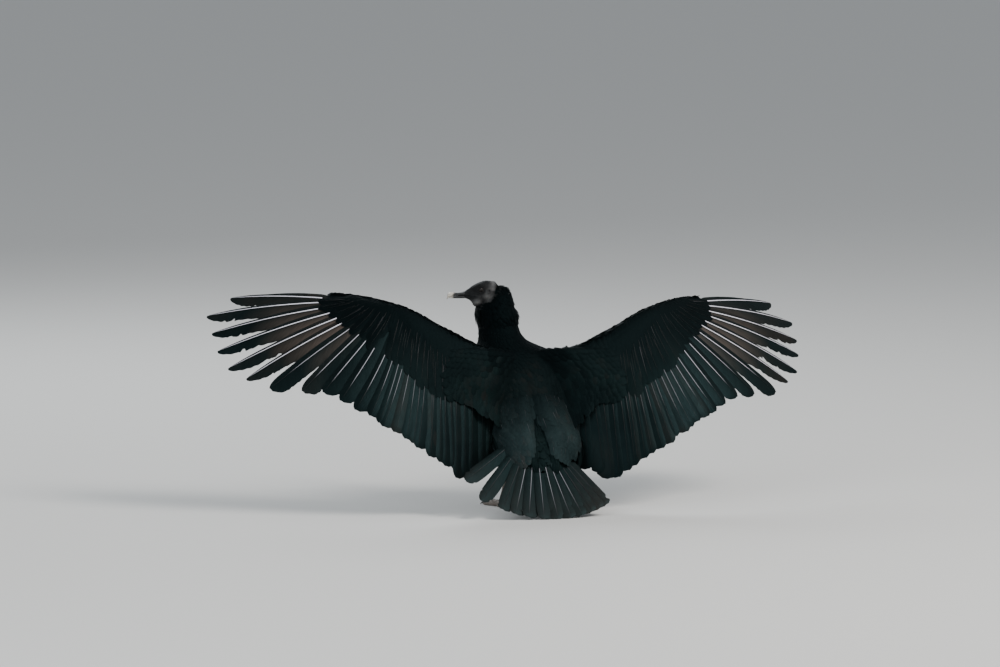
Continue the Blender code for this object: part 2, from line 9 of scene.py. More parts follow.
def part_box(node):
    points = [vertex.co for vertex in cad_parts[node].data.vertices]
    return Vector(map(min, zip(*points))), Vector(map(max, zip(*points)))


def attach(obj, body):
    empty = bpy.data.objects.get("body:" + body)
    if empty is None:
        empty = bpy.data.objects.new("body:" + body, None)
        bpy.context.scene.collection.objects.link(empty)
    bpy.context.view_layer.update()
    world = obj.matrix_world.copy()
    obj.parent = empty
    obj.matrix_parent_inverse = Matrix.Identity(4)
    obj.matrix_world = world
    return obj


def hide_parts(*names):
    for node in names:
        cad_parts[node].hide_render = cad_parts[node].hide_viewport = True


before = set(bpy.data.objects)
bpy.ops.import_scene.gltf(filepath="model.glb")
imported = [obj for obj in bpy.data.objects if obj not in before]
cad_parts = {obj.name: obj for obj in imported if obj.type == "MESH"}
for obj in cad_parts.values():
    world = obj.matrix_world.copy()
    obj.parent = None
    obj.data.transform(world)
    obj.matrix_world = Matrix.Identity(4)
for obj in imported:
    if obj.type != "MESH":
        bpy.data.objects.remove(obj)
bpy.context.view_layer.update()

# ------------------------------------------------------------------------------------------------------
# Body
# The flesh under the plumage: trunk, neck and head in one run, the arms of the wings, and the legs. The
# sizes are those of the solids, on a frame whose origin is on the floor below the hips.
# ------------------------------------------------------------------------------------------------------
SIZE = 0.955
BACK_LOW, BACK_HIGH = np.array((0.0, -0.083, 0.155)), np.array((0.0, 0.060, 0.345))
TRUNK = (  # share of the back, depth of the back line, depth of the belly, half width
    (-0.31, 0.030, 0.052, 0.030), (-0.25, 0.012, 0.062, 0.058), (-0.12, -0.002, 0.085, 0.084),
    (0.08, -0.006, 0.122, 0.098), (0.32, -0.002, 0.148, 0.099), (0.58, 0.000, 0.158, 0.097),
    (0.80, 0.002, 0.152, 0.094), (0.96, 0.012, 0.132, 0.082), (1.07, 0.026, 0.108, 0.062),
    (1.12, 0.044, 0.084, 0.034))
NECK = (  # place, centre, half width, half depth
    (0, -0.030, 0.066, 0.295, 0.058, 0.058), (1, -0.039, 0.084, 0.342, 0.050, 0.050),
    (2, -0.048, 0.096, 0.384, 0.047, 0.045), (3, -0.051, 0.102, 0.418, 0.045, 0.043),
    (4, -0.051, 0.103, 0.438, 0.041, 0.038), (5, -0.045, 0.103, 0.457, 0.031, 0.031),
    (6, -0.041, 0.103, 0.473, 0.020, 0.022), (7, -0.039, 0.103, 0.483, 0.008, 0.009))
HEAD_AT, HEAD_TURN = Vector((-0.082, 0.103, 0.477)), math.radians(167.0)
HEAD = (  # place along the head, top, bottom, half width
    (-0.032, 0.006, -0.012, 0.008), (-0.024, 0.0140, -0.020, 0.0145), (-0.012, 0.0186, -0.030, 0.0185),
    (0.000, 0.0176, -0.034, 0.0190), (0.012, 0.0130, -0.033, 0.0175), (0.022, 0.0078, -0.027, 0.0135),
    (0.031, 0.0012, -0.0225, 0.0100), (0.038, -0.0034, -0.0200, 0.0085), (0.0411, -0.0052, -0.0195, 0.0080))
EYE = Vector((0.004, 0.0142, 0.0))  # on the head: along it, out to the side, up
SHOULDER, ELBOW, WRIST, HAND_TIP = (0.050, 0.045, 0.349), (0.142, -0.022), (0.245, 0.092), (0.375, 0.122)
LEADING_EDGE = (
    (-0.060, 0.000), (0.020, -0.003), (0.067, 0.008), (0.115, 0.033), (0.155, 0.056), (0.195, 0.082),
    (0.231, 0.101), (0.293, 0.123), (0.360, 0.136), (0.430, 0.142))
SWEEP = ((0.00, -10.0), (0.20, -5.0), (0.36, 20.0), (0.50, 26.0), (0.72, 41.0))
LEAN = ((0.00, 13.0), (0.15, 24.0), (0.35, 35.5), (0.62, 34.5))
CAMBER, WING_RISE = 0.010, {-1: 2.3, 1: -2.7}
HIP, HOCK, ANKLE = np.array(((0.060, 0.072, 0.172), (0.050, 0.014, 0.088), (0.055, 0.046, 0.013)))
SIDES = (("left", -1), ("right", 1))

on_head = Matrix.Translation(HEAD_AT) @ Matrix.Rotation(HEAD_TURN, 4, "Z")
eye_low, eye_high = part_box("eye_left")
eye_layout = on_head @ Vector((EYE.x, EYE.y, EYE.z))
ORIGIN = np.array((eye_low + eye_high) / 2 - eye_layout * SIZE)


def placed(points):
    """From the body frame to the finished model."""
    return np.asarray(points, float) * SIZE + ORIGIN


def eased(keys, place):
    """A smooth curve through rows of numbers whose first number is the place along it."""
    keys, place = np.array(keys, float), np.atleast_1d(np.asarray(place, float))
    i = np.clip(np.searchsorted(keys[:, 0], place.ravel()) - 1, 0, len(keys) - 2)
    low, high = keys[i], keys[i + 1]
    before, after = keys[np.maximum(i - 1, 0)], keys[np.minimum(i + 2, len(keys) - 1)]
    span = high[:, :1] - low[:, :1]
    t = np.clip((place.ravel()[:, None] - low[:, :1]) / span, 0.0, 1.0)
    rise_low = (high - before)[:, 1:] / (high - before)[:, :1] * span
    rise_high = (after - low)[:, 1:] / (after - low)[:, :1] * span
    value = ((2 * t**3 - 3 * t**2 + 1) * low[:, 1:] + (t**3 - 2 * t**2 + t) * rise_low
             + (3 * t**2 - 2 * t**3) * high[:, 1:] + (t**3 - t**2) * rise_high)
    return value.reshape(place.shape + (keys.shape[1] - 1,))


def unit(v):
    return v / np.maximum(np.linalg.norm(v, axis=-1, keepdims=True), 1e-12)


def trunk_at(share, angle, depth=0.0, form=TRUNK):
    """The trunk's surface. The angle is 0 on the bird's right and 90 degrees at the belly."""
    top, bottom, width = np.moveaxis(eased(form, share), -1, 0)
    along = unit(BACK_HIGH - BACK_LOW)
    belly = np.array((0.0, along[2], -along[1]))
    centre = (BACK_LOW + (BACK_HIGH - BACK_LOW) * np.asarray(share)[..., None]
              + belly * ((top + bottom) / 2)[..., None])
    across = np.cos(angle) * (width - depth)
    up = np.sin(angle) * ((bottom - top) / 2 - depth)
    return centre + across[..., None] * np.array((1.0, 0.0, 0.0)) + up[..., None] * belly


def neck_at(place, angle, depth=0.0):
    """The neck's surface. The angle is 0 on the bird's right and 90 degrees at the throat."""
    row = eased(NECK, place)
    rise = unit(eased(NECK, np.clip(np.asarray(place) + 0.25, 0, 7))[..., :3]
                - eased(NECK, np.clip(np.asarray(place) - 0.25, 0, 7))[..., :3])
    across = unit(np.cross(np.array((0.0, 1.0, 0.0)), rise))
    front = np.cross(rise, across)
    return (row[..., :3] + across * (np.cos(angle) * (row[..., 3] - depth))[..., None]
            + front * (np.sin(angle) * (row[..., 4] - depth))[..., None])


SPINE_FROM, SPINE_TO, SPINE_STEP = -0.12, 0.80, 0.004
spine_u = np.arange(SPINE_FROM, SPINE_TO, SPINE_STEP)
spine_sweep = np.radians(eased(SWEEP, spine_u + SPINE_STEP / 2)[:, 0])
spine_zero = int(round(-SPINE_FROM / SPINE_STEP))
spine_x = np.concatenate(([0.0], np.cumsum(np.cos(spine_sweep) * SPINE_STEP)))[:-1]
spine_y = np.concatenate(([0.0], np.cumsum(np.sin(spine_sweep) * SPINE_STEP)))[:-1]


def wing_at(sign, u, v, lift=0.0):
    """A point of the wing: u out from the shoulder, v towards the leading edge, lift behind its plane."""
    u, v = np.broadcast_arrays(np.asarray(u, float), np.asarray(v, float))
    sweep, lean = np.radians(eased(SWEEP, u)[..., 0]), np.radians(eased(LEAN, u)[..., 0])
    x = np.interp(u, spine_u, spine_x - spine_x[spine_zero])
    y = np.interp(u, spine_u, spine_y - spine_y[spine_zero])
    off = lift + CAMBER * (1.0 - ((v + 0.06) / 0.17) ** 2)
    ahead = np.sin(lean) * v - np.cos(lean) * off
    up = np.cos(lean) * v + np.sin(lean) * off
    x, y, z = sign * (x - np.sin(sweep) * ahead), y + np.cos(sweep) * ahead, up
    turn = math.radians(-sign * WING_RISE[sign])
    x, z = x * math.cos(turn) + z * math.sin(turn), z * math.cos(turn) - x * math.sin(turn)
    return np.stack((SHOULDER[0] * sign + x, SHOULDER[1] + y, SHOULDER[2] + z), -1)


def edge_v(u):
    """The wing's leading edge."""
    return eased(LEADING_EDGE, u)[..., 0]


def bone_v(u):
    """The line of the wing's bones from the shoulder over elbow and wrist to the tip of the hand."""
    return np.interp(u, (0.0, ELBOW[0], WRIST[0], HAND_TIP[0]), (0.0, ELBOW[1], WRIST[1], HAND_TIP[1]))


def wing_space(sign):
    """What lays a flat shape out on one wing and puts it in its place on the model."""
    return lambda u, v, lift: placed(wing_at(sign, u, v, lift))


def side_turn(count):
    """Angles once round a section."""
    return np.linspace(0, 2 * np.pi, count + 1)[:-1]


def linked(name, mesh):
    """An object for a mesh, put in the scene."""
    made = bpy.data.objects.new(name, mesh)
    bpy.context.scene.collection.objects.link(made)
    return made


def tube(name, grid):
    """A closed body from rings of points, shape (rings, points round, 3)."""
    rings, around = grid.shape[:2]
    points = np.concatenate((grid.reshape(-1, 3), grid[0].mean(0)[None], grid[-1].mean(0)[None]))
    at = np.arange(rings * around).reshape(rings, around)
    here, there = at, np.roll(at, -1, 1)
    faces = list(np.stack((here[:-1], there[:-1], there[1:], here[1:]), -1).reshape(-1, 4))
    low, high = rings * around, rings * around + 1
    faces += [(there[0, k], here[0, k], low) for k in range(around)]
    faces += [(here[-1, k], there[-1, k], high) for k in range(around)]
    mesh = bpy.data.meshes.new(name)
    mesh.from_pydata([tuple(p) for p in points], [], [tuple(f) for f in faces])
    mesh.validate()
    mesh.shade_smooth()
    shape = bmesh.new()
    shape.from_mesh(mesh)
    bmesh.ops.recalc_face_normals(shape, faces=shape.faces)
    shape.to_mesh(mesh)
    shape.free()
    return linked(name, mesh)


def cloud(points, size, seed=0):
    """Smooth random values from -1 to 1 that change over a length of size."""
    p = np.asarray(points, float) / size
    cell = np.floor(p).astype(np.int64)
    f = p - cell
    f = f * f * (3 - 2 * f)
    total = 0.0
    for dx in (0, 1):
        for dy in (0, 1):
            for dz in (0, 1):
                mixed = ((cell[..., 0] + dx) * 73856093) ^ ((cell[..., 1] + dy) * 19349663) ^ (
                    (cell[..., 2] + dz) * 83492791) ^ (seed * 2654435761)
                value = ((mixed * 1103515245 + 12345) & 0x7FFFFFFF) / 0x3FFFFFFF - 1.0
                weight = ((f[..., 0] if dx else 1 - f[..., 0]) * (f[..., 1] if dy else 1 - f[..., 1])
                          * (f[..., 2] if dz else 1 - f[..., 2]))
                total = total + value * weight
    return total


def bell(distance, width):
    """A smooth bump, 1 high in the middle."""
    return np.exp(-(distance / width) ** 2)


def evaluated(made):
    """The object with its modifiers applied to a plain mesh."""
    bpy.context.view_layer.update()
    baked = bpy.data.meshes.new_from_object(made.evaluated_get(bpy.context.evaluated_depsgraph_get()))
    made.modifiers.clear()
    old, made.data = made.data, baked
    bpy.data.meshes.remove(old)
    return made


def melted(name, bodies, voxel, rounds):
    """Closed bodies melted into one skin of even small faces."""
    shape = bmesh.new()
    for body in bodies:
        shape.from_mesh(body.data)
        bpy.data.objects.remove(body)
    mesh = bpy.data.meshes.new(name)
    shape.to_mesh(mesh)
    shape.free()
    made = linked(name, mesh)
    remesh = made.modifiers.new("melt", "REMESH")
    remesh.mode = "VOXEL"
    remesh.voxel_size = voxel
    ease = made.modifiers.new("ease", "SMOOTH")
    ease.iterations = rounds
    ease.factor = 0.5
    return evaluated(made)


def joined(name, first, others):
    """Closed bodies united into one closed skin, each keeping its own fineness."""
    for n, other in enumerate(others):
        unite = first.modifiers.new(f"unite_{n}", "BOOLEAN")
        unite.operation = "UNION"
        unite.solver = "MANIFOLD"
        unite.object = other
    evaluated(first)
    for other in others:
        bpy.data.objects.remove(other)
    first.name = name
    first.data.shade_smooth()
    return first


def round_grid(start, end, rings, turn):
    """Places along a body and angles round it, as two grids."""
    return np.meshgrid(np.linspace(start, end, rings), turn, indexing="ij")


TRUNK_COAT, NECK_COAT, COLLAR_COAT = 0.009, 0.0032, 0.0026  # how far the flesh lies inside the solids
around = side_turn(48)
bodies = [tube("trunk_flesh", placed(trunk_at(*round_grid(-0.28, 1.10, 40, around), TRUNK_COAT))),
          tube("neck_flesh", placed(neck_at(*round_grid(0.0, 6.6, 40, around), NECK_COAT)))]
for side, sign in SIDES:
    # The arm: a flat oval section from the leading edge to just behind the bones.
    u, turn = round_grid(-0.03, 0.402, 60, side_turn(24))
    front = edge_v(u) - np.interp(u, (-0.03, 0.03), (0.014, 0.0025))
    rear = np.minimum(bone_v(u), edge_v(u) - 0.008) - 0.020
    thick = np.interp(u, (0.0, 0.14, 0.26, 0.40), (0.020, 0.014, 0.009, 0.004)) / 2
    thick = thick * np.interp(u, (-0.03, 0.03, 0.385, 0.402), (0.3, 1.0, 1.0, 0.4))
    bodies.append(tube("arm_flesh", placed(wing_at(
        sign, u, (front + rear) / 2 + (front - rear) / 2 * np.cos(turn), thick * np.sin(turn)))))
    # The thigh under its feathers.
    hip, hock, ankle = (p * (sign, 1, 1) for p in (HIP, HOCK, ANKLE))
    share = np.linspace(0, 1.0, 24)
    down = unit(hock - hip)
    across = unit(np.cross(down, (1.0, 0.0, 0.0)))
    radius = np.interp(share, (0, 0.25, 0.5, 0.75, 0.95, 1.0), (0.034, 0.035, 0.028, 0.018, 0.011, 0.010))
    ring = across[None] * np.cos(around)[:, None] + np.cross(down, across)[None] * np.sin(around)[:, None]
    bodies.append(tube("thigh_flesh", placed(hip + (hock - hip) * share[:, None, None]
                                             + ring[None] * radius[:, None, None])))
BODY_FACE, HEAD_FACE = 0.0034, 0.00095  # width of a face of the skin
skin = melted("skin", bodies, BODY_FACE, 4)

# The head and the top of the neck, finely divided. All reliefs are laid out on the head: along it, out to
# the side and up.
along = np.linspace(HEAD[0][0], HEAD[-1][0], 70)
top, bottom, width = eased(HEAD, along).T
cosine, sine = np.cos(around), np.sin(around)
middle, half = ((top + bottom) / 2)[:, None], ((top - bottom) / 2)[:, None]
ring = np.stack((along[:, None] + 0 * cosine, width[:, None] * np.sign(cosine) * np.abs(cosine) ** 0.9,
                 middle + half * np.sign(sine) * np.abs(sine) ** 0.95), -1)
turned = np.array(on_head.to_3x3())
head_mesh = tube("head_flesh", placed(ring @ turned.T + np.array(HEAD_AT)))
collar = tube("collar_flesh", placed(neck_at(*round_grid(2.6, 6.7, 40, around), COLLAR_COAT)))
face = melted("face", [head_mesh, collar], HEAD_FACE, 6)

co = np.empty(len(face.data.vertices) * 3)
face.data.vertices.foreach_get("co", co)
co = co.reshape(-1, 3)
normal = np.empty_like(co)
face.data.vertices.foreach_get("normal", normal.reshape(-1))
on = ((co - ORIGIN) / SIZE - np.array(HEAD_AT)) @ turned  # along, side, up
a, s, h = on.T
beside = np.clip((np.abs(s) - 0.004) / 0.006, 0, 1)
bare = np.clip((a + 0.020 + 0.012 * (h > 0)) / 0.006, 0, 1) * np.clip((h + 0.046) / 0.006, 0, 1)
eye_gap = np.hypot(a - EYE.x, h * 1.12)
warp = cloud(on, 0.006, 3) * 0.0012
relief = 0.0009 * bell(eye_gap - 0.0054, 0.0008) - 0.0006 * bell(eye_gap - 0.0069, 0.0008)
relief += (0.0005 * bell(eye_gap + warp * 0.5 - 0.0083, 0.0008)
           - 0.0003 * bell(eye_gap + warp * 0.6 - 0.0096, 0.0007))
relief -= 0.0040 * np.clip(1 - eye_gap / 0.0046, 0, 1) ** 0.5
relief += 0.0014 * bell(a - 0.008, 0.009) * bell(h - 0.0098, 0.0030)  # brow
relief -= 0.0011 * bell(a - 0.021, 0.006) * bell(h + 0.003, 0.0045)  # lores
relief += 0.0012 * bell(a + 0.006, 0.008) * bell(h + 0.016, 0.006)  # cheek
ear = np.hypot(a + 0.0135, (h + 0.003) * 0.8)
relief += 0.0006 * bell(ear - 0.0034, 0.0009) - 0.0026 * bell(ear, 0.0021)
gape = h + 0.0135 + 0.0035 * np.clip((0.036 - a) / 0.03, 0, 1)
relief -= 0.0008 * bell(gape, 0.0007) * np.clip((a - 0.008) / 0.004, 0, 1)
relief += 0.0006 * bell(gape - 0.0018, 0.0012) * np.clip((a - 0.010) / 0.004, 0, 1)
relief *= beside
folds = np.sin((h * 0.55 + a * 0.85) / 0.00062 + cloud(on, 0.0045, 5) * 3.2)
netted = np.abs(cloud(on * (1, 1, 1.4), 0.0022, 7)) + 0.6 * np.abs(cloud(on, 0.0013, 8))
calm = np.clip((eye_gap - 0.009) / 0.004, 0, 1)
rear = np.clip((0.010 - a) / 0.012, 0, 1)
relief += calm * (0.00030 * folds * rear + 0.00018 * folds * (1 - rear)
                  - 0.0007 * (0.45 - netted).clip(0, 1) * 0.8)
throat = np.clip((-0.022 - h) / 0.006, 0, 1) * np.clip((0.030 - a) / 0.01, 0, 1)
relief += throat * 0.0005 * np.sin(a / 0.00055 + cloud(on, 0.006, 11) * 2.6)
# The flat back of the crown and the loose skin of the throat.
shape = 0.0040 * bell(a + 0.0265, 0.0070) * np.clip(h / 0.008, 0, 1)
shape += (0.0068 * bell(a - 0.0140, 0.0090) * np.clip((-0.012 - h) / 0.010, 0, 1)
          * np.clip((h + 0.078) / 0.034, 0, 1))
co += normal * ((relief * bare + shape) * SIZE)[:, None]
face.data.vertices.foreach_set("co", co.ravel())
face.data.update()

TOES = (  # name, degrees outwards from straight ahead, length, half width, length of the claw
    ("inner", 24.0, 0.047, 0.0056, 0.013), ("middle", -4.0, 0.066, 0.0062, 0.016),
    ("outer", -34.0, 0.047, 0.0054, 0.011), ("hind", 165.0, 0.022, 0.0050, 0.011))
TOE_ROOT = 0.004  # how far in front of the ankle a toe starts


def toe_ways(degrees, sign):
    """The way a toe points and the way across it."""
    heading = math.radians(degrees) * -sign
    ahead = np.array((math.sin(heading), math.cos(heading), 0.0))
    return ahead, np.array((ahead[1], -ahead[0], 0.0))


legs = []
for side, sign in SIDES:
    # Shank, pad and toes, with a ladder of scutes down the front and small scales round the rest.
    hip, hock, ankle = (p * (sign, 1, 1) for p in (HIP, HOCK, ANKLE))
    share = np.linspace(-0.10, 1.0, 110)
    down = unit(ankle - hock)
    across = unit(np.cross(down, (1.0, 0.0, 0.0)))
    forward = np.cross(down, across)
    turn = side_turn(32)
    radius = eased(((-0.1, 0.0070), (0.0, 0.0076), (0.08, 0.0080), (0.25, 0.0059), (0.7, 0.0053),
                    (0.9, 0.0064), (1.0, 0.0068)), share)[:, 0]
    axis = hock + (ankle - hock) * share[:, None, None]
    grid = (axis + radius[:, None, None] * (
        across[None] * np.cos(turn)[:, None] + forward[None] * np.sin(turn)[:, None])[None])
    facing = np.clip((grid - axis)[..., 1] / 0.005, -1, 1)
    ladder = np.abs(np.sin(share * 34.0))[:, None] ** 0.5 * np.clip(facing * 2, 0, 1)
    net = np.abs(cloud(grid, 0.0022, 21)) * (1 - np.clip(facing * 2, 0, 1))
    grid = grid + (grid - axis) * (0.055 * ladder + 0.07 * net - 0.05)[..., None]
    legs.append(tube("shank_flesh", placed(grid)))
    sole = np.array((ankle[0], ankle[1], 0.0))
    level = np.linspace(0, 1, 16)
    wide = eased(((0, 0.0106), (0.35, 0.0116), (0.75, 0.0102), (1.0, 0.0056)), level)[:, 0]
    pad = np.stack((sole[0] + wide[:, None] * np.cos(turn), sole[1] + wide[:, None] * np.sin(turn),
                    (0.0146 * level)[:, None] + 0 * turn), -1)
    legs.append(tube("pad_flesh", placed(pad)))
    for name, degrees, length, width, claw_length in TOES:
        ahead, beside_toe = toe_ways(degrees, sign)
        share = np.linspace(0, 1, 56)
        radius = width * (1.12 - 0.42 * share + 0.08 * np.cos(share * 6 * np.pi))
        scute = 1.0 + 0.06 * np.abs(np.sin(share * length / 0.0009)) ** 0.5 - 0.04
        toe_turn = side_turn(24)
        upper = np.clip(np.sin(toe_turn) * 2, 0, 1)
        rough = radius[:, None] * (scute[:, None] * upper + 0.985 * (1 - upper))
        grid = (sole + ahead * TOE_ROOT + ahead * (length * share)[:, None, None]
                + beside_toe * (rough * np.cos(toe_turn))[..., None]
                + np.array((0, 0, 1.0))
                * (radius[:, None] * 0.92 + rough * 1.04 * np.sin(toe_turn))[..., None])
        end = np.clip((share - 0.93) / 0.07, 0, 1)[:, None]
        grid[..., 2] = np.maximum(grid[..., 2], 0.0)
        middle_line = grid.mean(1, keepdims=True)
        grid = middle_line + (grid - middle_line) * np.sqrt(1 - 0.6 * end**2)[..., None]
        legs.append(tube("toe_flesh", placed(grid)))
skin = joined("skin", skin, [face, *legs])

# ------------------------------------------------------------------------------------------------------
# Colours of the plumage
# Black feathers with a cool green gloss, brown where they are worn. The gloss is a painted sheen, a lighter
# teal colour in slow patches. Painted shade darkens the plumage towards the top of the bird, and the back's
# lobes are painted lighter and bluer where light falls on them. Fine barbs run out from each shaft. Every
# feather brings its own tone, and how pale its web is.
# ------------------------------------------------------------------------------------------------------
def wire(tree, kind, links=None, **values):
    """A shader or geometry node with its settings, its links and its constants."""
    node = tree.nodes.new(kind)
    for name, value in values.items():
        setattr(node, name, value)
    for socket, source in (links or {}).items():
        target = node.inputs[socket]
        if isinstance(source, bpy.types.NodeSocket):
            tree.links.new(source, target)
        else:
            target.default_value = source
    return node


def ramp(tree, source, *stops):
    """A colour ramp from (place, colour) stops."""
    node = wire(tree, "ShaderNodeValToRGB", {"Fac": source})
    bar = node.color_ramp
    while len(bar.elements) < len(stops):
        bar.elements.new(0.5)
    for element, (place, colour) in zip(bar.elements, stops):
        element.position = place
        element.color = (*colour, 1.0) if len(colour) == 3 else colour
    return node.outputs["Color"]


def new_paint(name):
    """A material, its tree and its shader."""
    paint = bpy.data.materials.new(name)
    paint.use_nodes = True
    return paint, paint.node_tree, paint.node_tree.nodes["Principled BSDF"]


def object_place(tree):
    """The place on the piece that its patterns are laid out by."""
    return wire(tree, "ShaderNodeTexCoord").outputs["Object"]


def noise(tree, where, scale, detail, **more):
    return wire(tree, "ShaderNodeTexNoise",
                {"Vector": where, "Scale": scale, "Detail": detail, **more}).outputs["Fac"]


def maths(tree, operation, *values):
    return wire(tree, "ShaderNodeMath", dict(enumerate(values)), operation=operation).outputs[0]


def bumped(tree, height, strength, depth):
    return wire(tree, "ShaderNodeBump",
                {"Height": height, "Strength": strength, "Distance": depth}).outputs["Normal"]


def marked(mesh, label, values):
    """Numbers on a mesh's points for its material to read."""
    mesh.attributes.new(label, "FLOAT", "POINT").data.foreach_set("value", np.asarray(values, np.float32))


def grey(value):
    return (value,) * 3


def group(name, inputs, outputs):
    """A shader node group, with what it takes in and what it puts out."""
    tree = bpy.data.node_groups.new(name, "ShaderNodeTree")
    for label, kind, value in inputs:
        socket = tree.interface.new_socket(label, in_out="INPUT", socket_type=kind)
        socket.default_value = value
    for label, kind in outputs:
        tree.interface.new_socket(label, in_out="OUTPUT", socket_type=kind)
    return tree, tree.nodes.new("NodeGroupInput").outputs, tree.nodes.new("NodeGroupOutput").inputs


FLOAT = "NodeSocketFloat"
BLACK, WHITE = grey(0), grey(1)
barbs, given, out = group("barbs", (("Fineness", FLOAT, 1500.0), ("Slant", FLOAT, 0.85)),
                          (("Height", FLOAT), ("Split", FLOAT)))
lay = wire(barbs, "ShaderNodeSeparateXYZ",
           {"Vector": wire(barbs, "ShaderNodeUVMap", uv_map="Vane").outputs["UV"]})
aside = maths(barbs, "ABSOLUTE", lay.outputs["X"])
along_barb = maths(barbs, "MULTIPLY", aside, given["Slant"])
barb_place = maths(barbs, "SUBTRACT", lay.outputs["Y"], along_barb)
spread = maths(barbs, "MULTIPLY", barb_place, given["Fineness"])
patchy = noise(barbs, object_place(barbs), 90.0, 2.0)
wave = maths(barbs, "SINE", maths(barbs, "MULTIPLY_ADD", patchy, 9.0, spread))
strands = wire(barbs, "ShaderNodeCombineXYZ", {"X": maths(barbs, "MULTIPLY", barb_place, 420.0),
                                               "Y": maths(barbs, "MULTIPLY", lay.outputs["X"], 60.0)})
coarse = noise(barbs, strands.outputs["Vector"], 1.0, 3.0)
barbs.links.new(maths(barbs, "MULTIPLY_ADD", wave, 0.3, coarse), out["Height"])
barbs.links.new(coarse, out["Split"])


def attribute(tree, name):
    return wire(tree, "ShaderNodeAttribute", attribute_name=name).outputs["Fac"]


def mixed(tree, share, first, second, how="MIX"):
    node = wire(tree, "ShaderNodeMix", data_type="RGBA", blend_type=how)
    for socket, value in ((0, share), (6, first), (7, second)):
        if isinstance(value, bpy.types.NodeSocket):
            tree.links.new(value, node.inputs[socket])
        else:
            node.inputs[socket].default_value = (*value, 1.0) if isinstance(value, tuple) else value
    return node.outputs[2]


def plumage(name, black, gloss, brown, web, rough, shine,
            fineness=1500.0, bump=0.35, streak=(0.76, 1.18), painted_shade_above=None):
    """Feather colour: black to brown by the feather's tone, its pale web, its silver underside, a painted
    sheen, and painted shade above.
    """
    paint, tree, shader = new_paint(name)
    weave = wire(tree, "ShaderNodeGroup", node_tree=barbs)
    weave.inputs["Fineness"].default_value = fineness
    where = object_place(tree)
    wide = noise(tree, where, 14.0, 3.0)
    tone = attribute(tree, "tone")
    # Painted sheen: a lighter teal gloss colour laid over the black in slow patches.
    shade = mixed(tree, ramp(tree, wide, (0.35, BLACK), (0.65, WHITE)), black, gloss)
    worn = maths(tree, "MULTIPLY", tone, wide)
    shade = mixed(tree, ramp(tree, worn, (0.30, BLACK), (0.62, WHITE)), shade, brown)
    shade = mixed(tree, 1.0, shade, ramp(tree, tone, (0.0, grey(0.74)), (1.0, grey(1.30))), "MULTIPLY")
    # Painted shade: the plumage darkens towards the top of the bird, by height.
    if painted_shade_above:
        height = wire(tree, "ShaderNodeSeparateXYZ", {"Vector": where}).outputs["Z"]
        shade = mixed(tree, ramp(tree, height, (painted_shade_above[0], BLACK), (painted_shade_above[1], WHITE)), shade, painted_shade_above[2])
    web = mixed(tree, attribute(tree, "under"), web, (0.42, 0.42, 0.43))
    shade = mixed(tree, attribute(tree, "pale"), shade, web)
    lines = ramp(tree, weave.outputs["Split"], (0.25, grey(streak[0])), (0.75, grey(streak[1])))
    shade = mixed(tree, 1.0, shade, lines, "MULTIPLY")
    tree.links.new(shade, shader.inputs["Base Color"])
    dull = ramp(tree, weave.outputs["Split"], (0.2, grey(rough - 0.08)), (0.8, grey(rough + 0.1)))
    tree.links.new(dull, shader.inputs["Roughness"])
    tree.links.new(bumped(tree, weave.outputs["Height"], bump, 0.0006), shader.inputs["Normal"])
    shader.inputs["Specular IOR Level"].default_value = shine
    shader.inputs["Specular Tint"].default_value = (0.45, 0.92, 1.0, 1.0)
    shader.inputs["Sheen Weight"].default_value = 0.01
    shader.inputs["Sheen Roughness"].default_value = 0.45
    shader.inputs["Sheen Tint"].default_value = (0.55, 0.80, 0.82, 1.0)
    return paint


flight_paint = plumage("flight_vanes", (0.0023, 0.0037, 0.0038), (0.0034, 0.0066, 0.0064),
                       (0.0088, 0.0070, 0.0058), (0.110, 0.080, 0.066), 0.42, 0.085, streak=(0.60, 1.30))
# The back's lobes: their lighter, bluer colours are painted light and sheen, with painted shade towards the
# top.
lit_back_paint = plumage("lit_back_plumage", (0.0090, 0.0150, 0.0156), (0.0168, 0.0270, 0.0276),
                     (0.0185, 0.0170, 0.0155), (0.11, 0.10, 0.09), 0.50, 0.060, fineness=4200.0,
                     painted_shade_above=(0.165, 0.250, (0.0012, 0.0022, 0.0024)))
# The body's plumage: its own black, darkened towards the top by painted shade.
body_paint = plumage("body_plumage", (0.0015, 0.0026, 0.0028), (0.0040, 0.0084, 0.0082),
                     (0.0072, 0.0060, 0.0052), (0.11, 0.10, 0.09), 0.50, 0.050, fineness=5000.0, bump=0.25,
                     painted_shade_above=(0.28, 0.36, (0.0011, 0.0019, 0.0021)))
# The mantle, neck and inner shoulder: partly the feathers' own matte black and partly painted shade, darkest
# towards the top.
dark_shaded_paint = plumage("mantle_plumage", (0.0020, 0.0034, 0.0036), (0.0038, 0.0066, 0.0068),
                     (0.0075, 0.0064, 0.0056), (0.11, 0.10, 0.09), 0.55, 0.035, fineness=5000.0, bump=0.25,
                     painted_shade_above=(0.27, 0.325, (0.0009, 0.0016, 0.0018)))
shaft_paint, shaft_tree, shaft_shader = new_paint("shafts")
shaft_shader.inputs["Specular IOR Level"].default_value = 0.18
grain = noise(shaft_tree, object_place(shaft_tree), 60.0, 3.0)
horn_pale = ramp(shaft_tree, grain, (0.3, (0.74, 0.72, 0.80)), (0.7, (0.88, 0.86, 0.93)))
shaft_tree.links.new(mixed(shaft_tree, attribute(shaft_tree, "pale"), (0.0028, 0.0032, 0.0034), horn_pale),
                     shaft_shader.inputs["Base Color"])
shaft_tree.links.new(ramp(shaft_tree, grain, (0.2, grey(0.28)), (0.8, grey(0.40))),
                     shaft_shader.inputs["Roughness"])

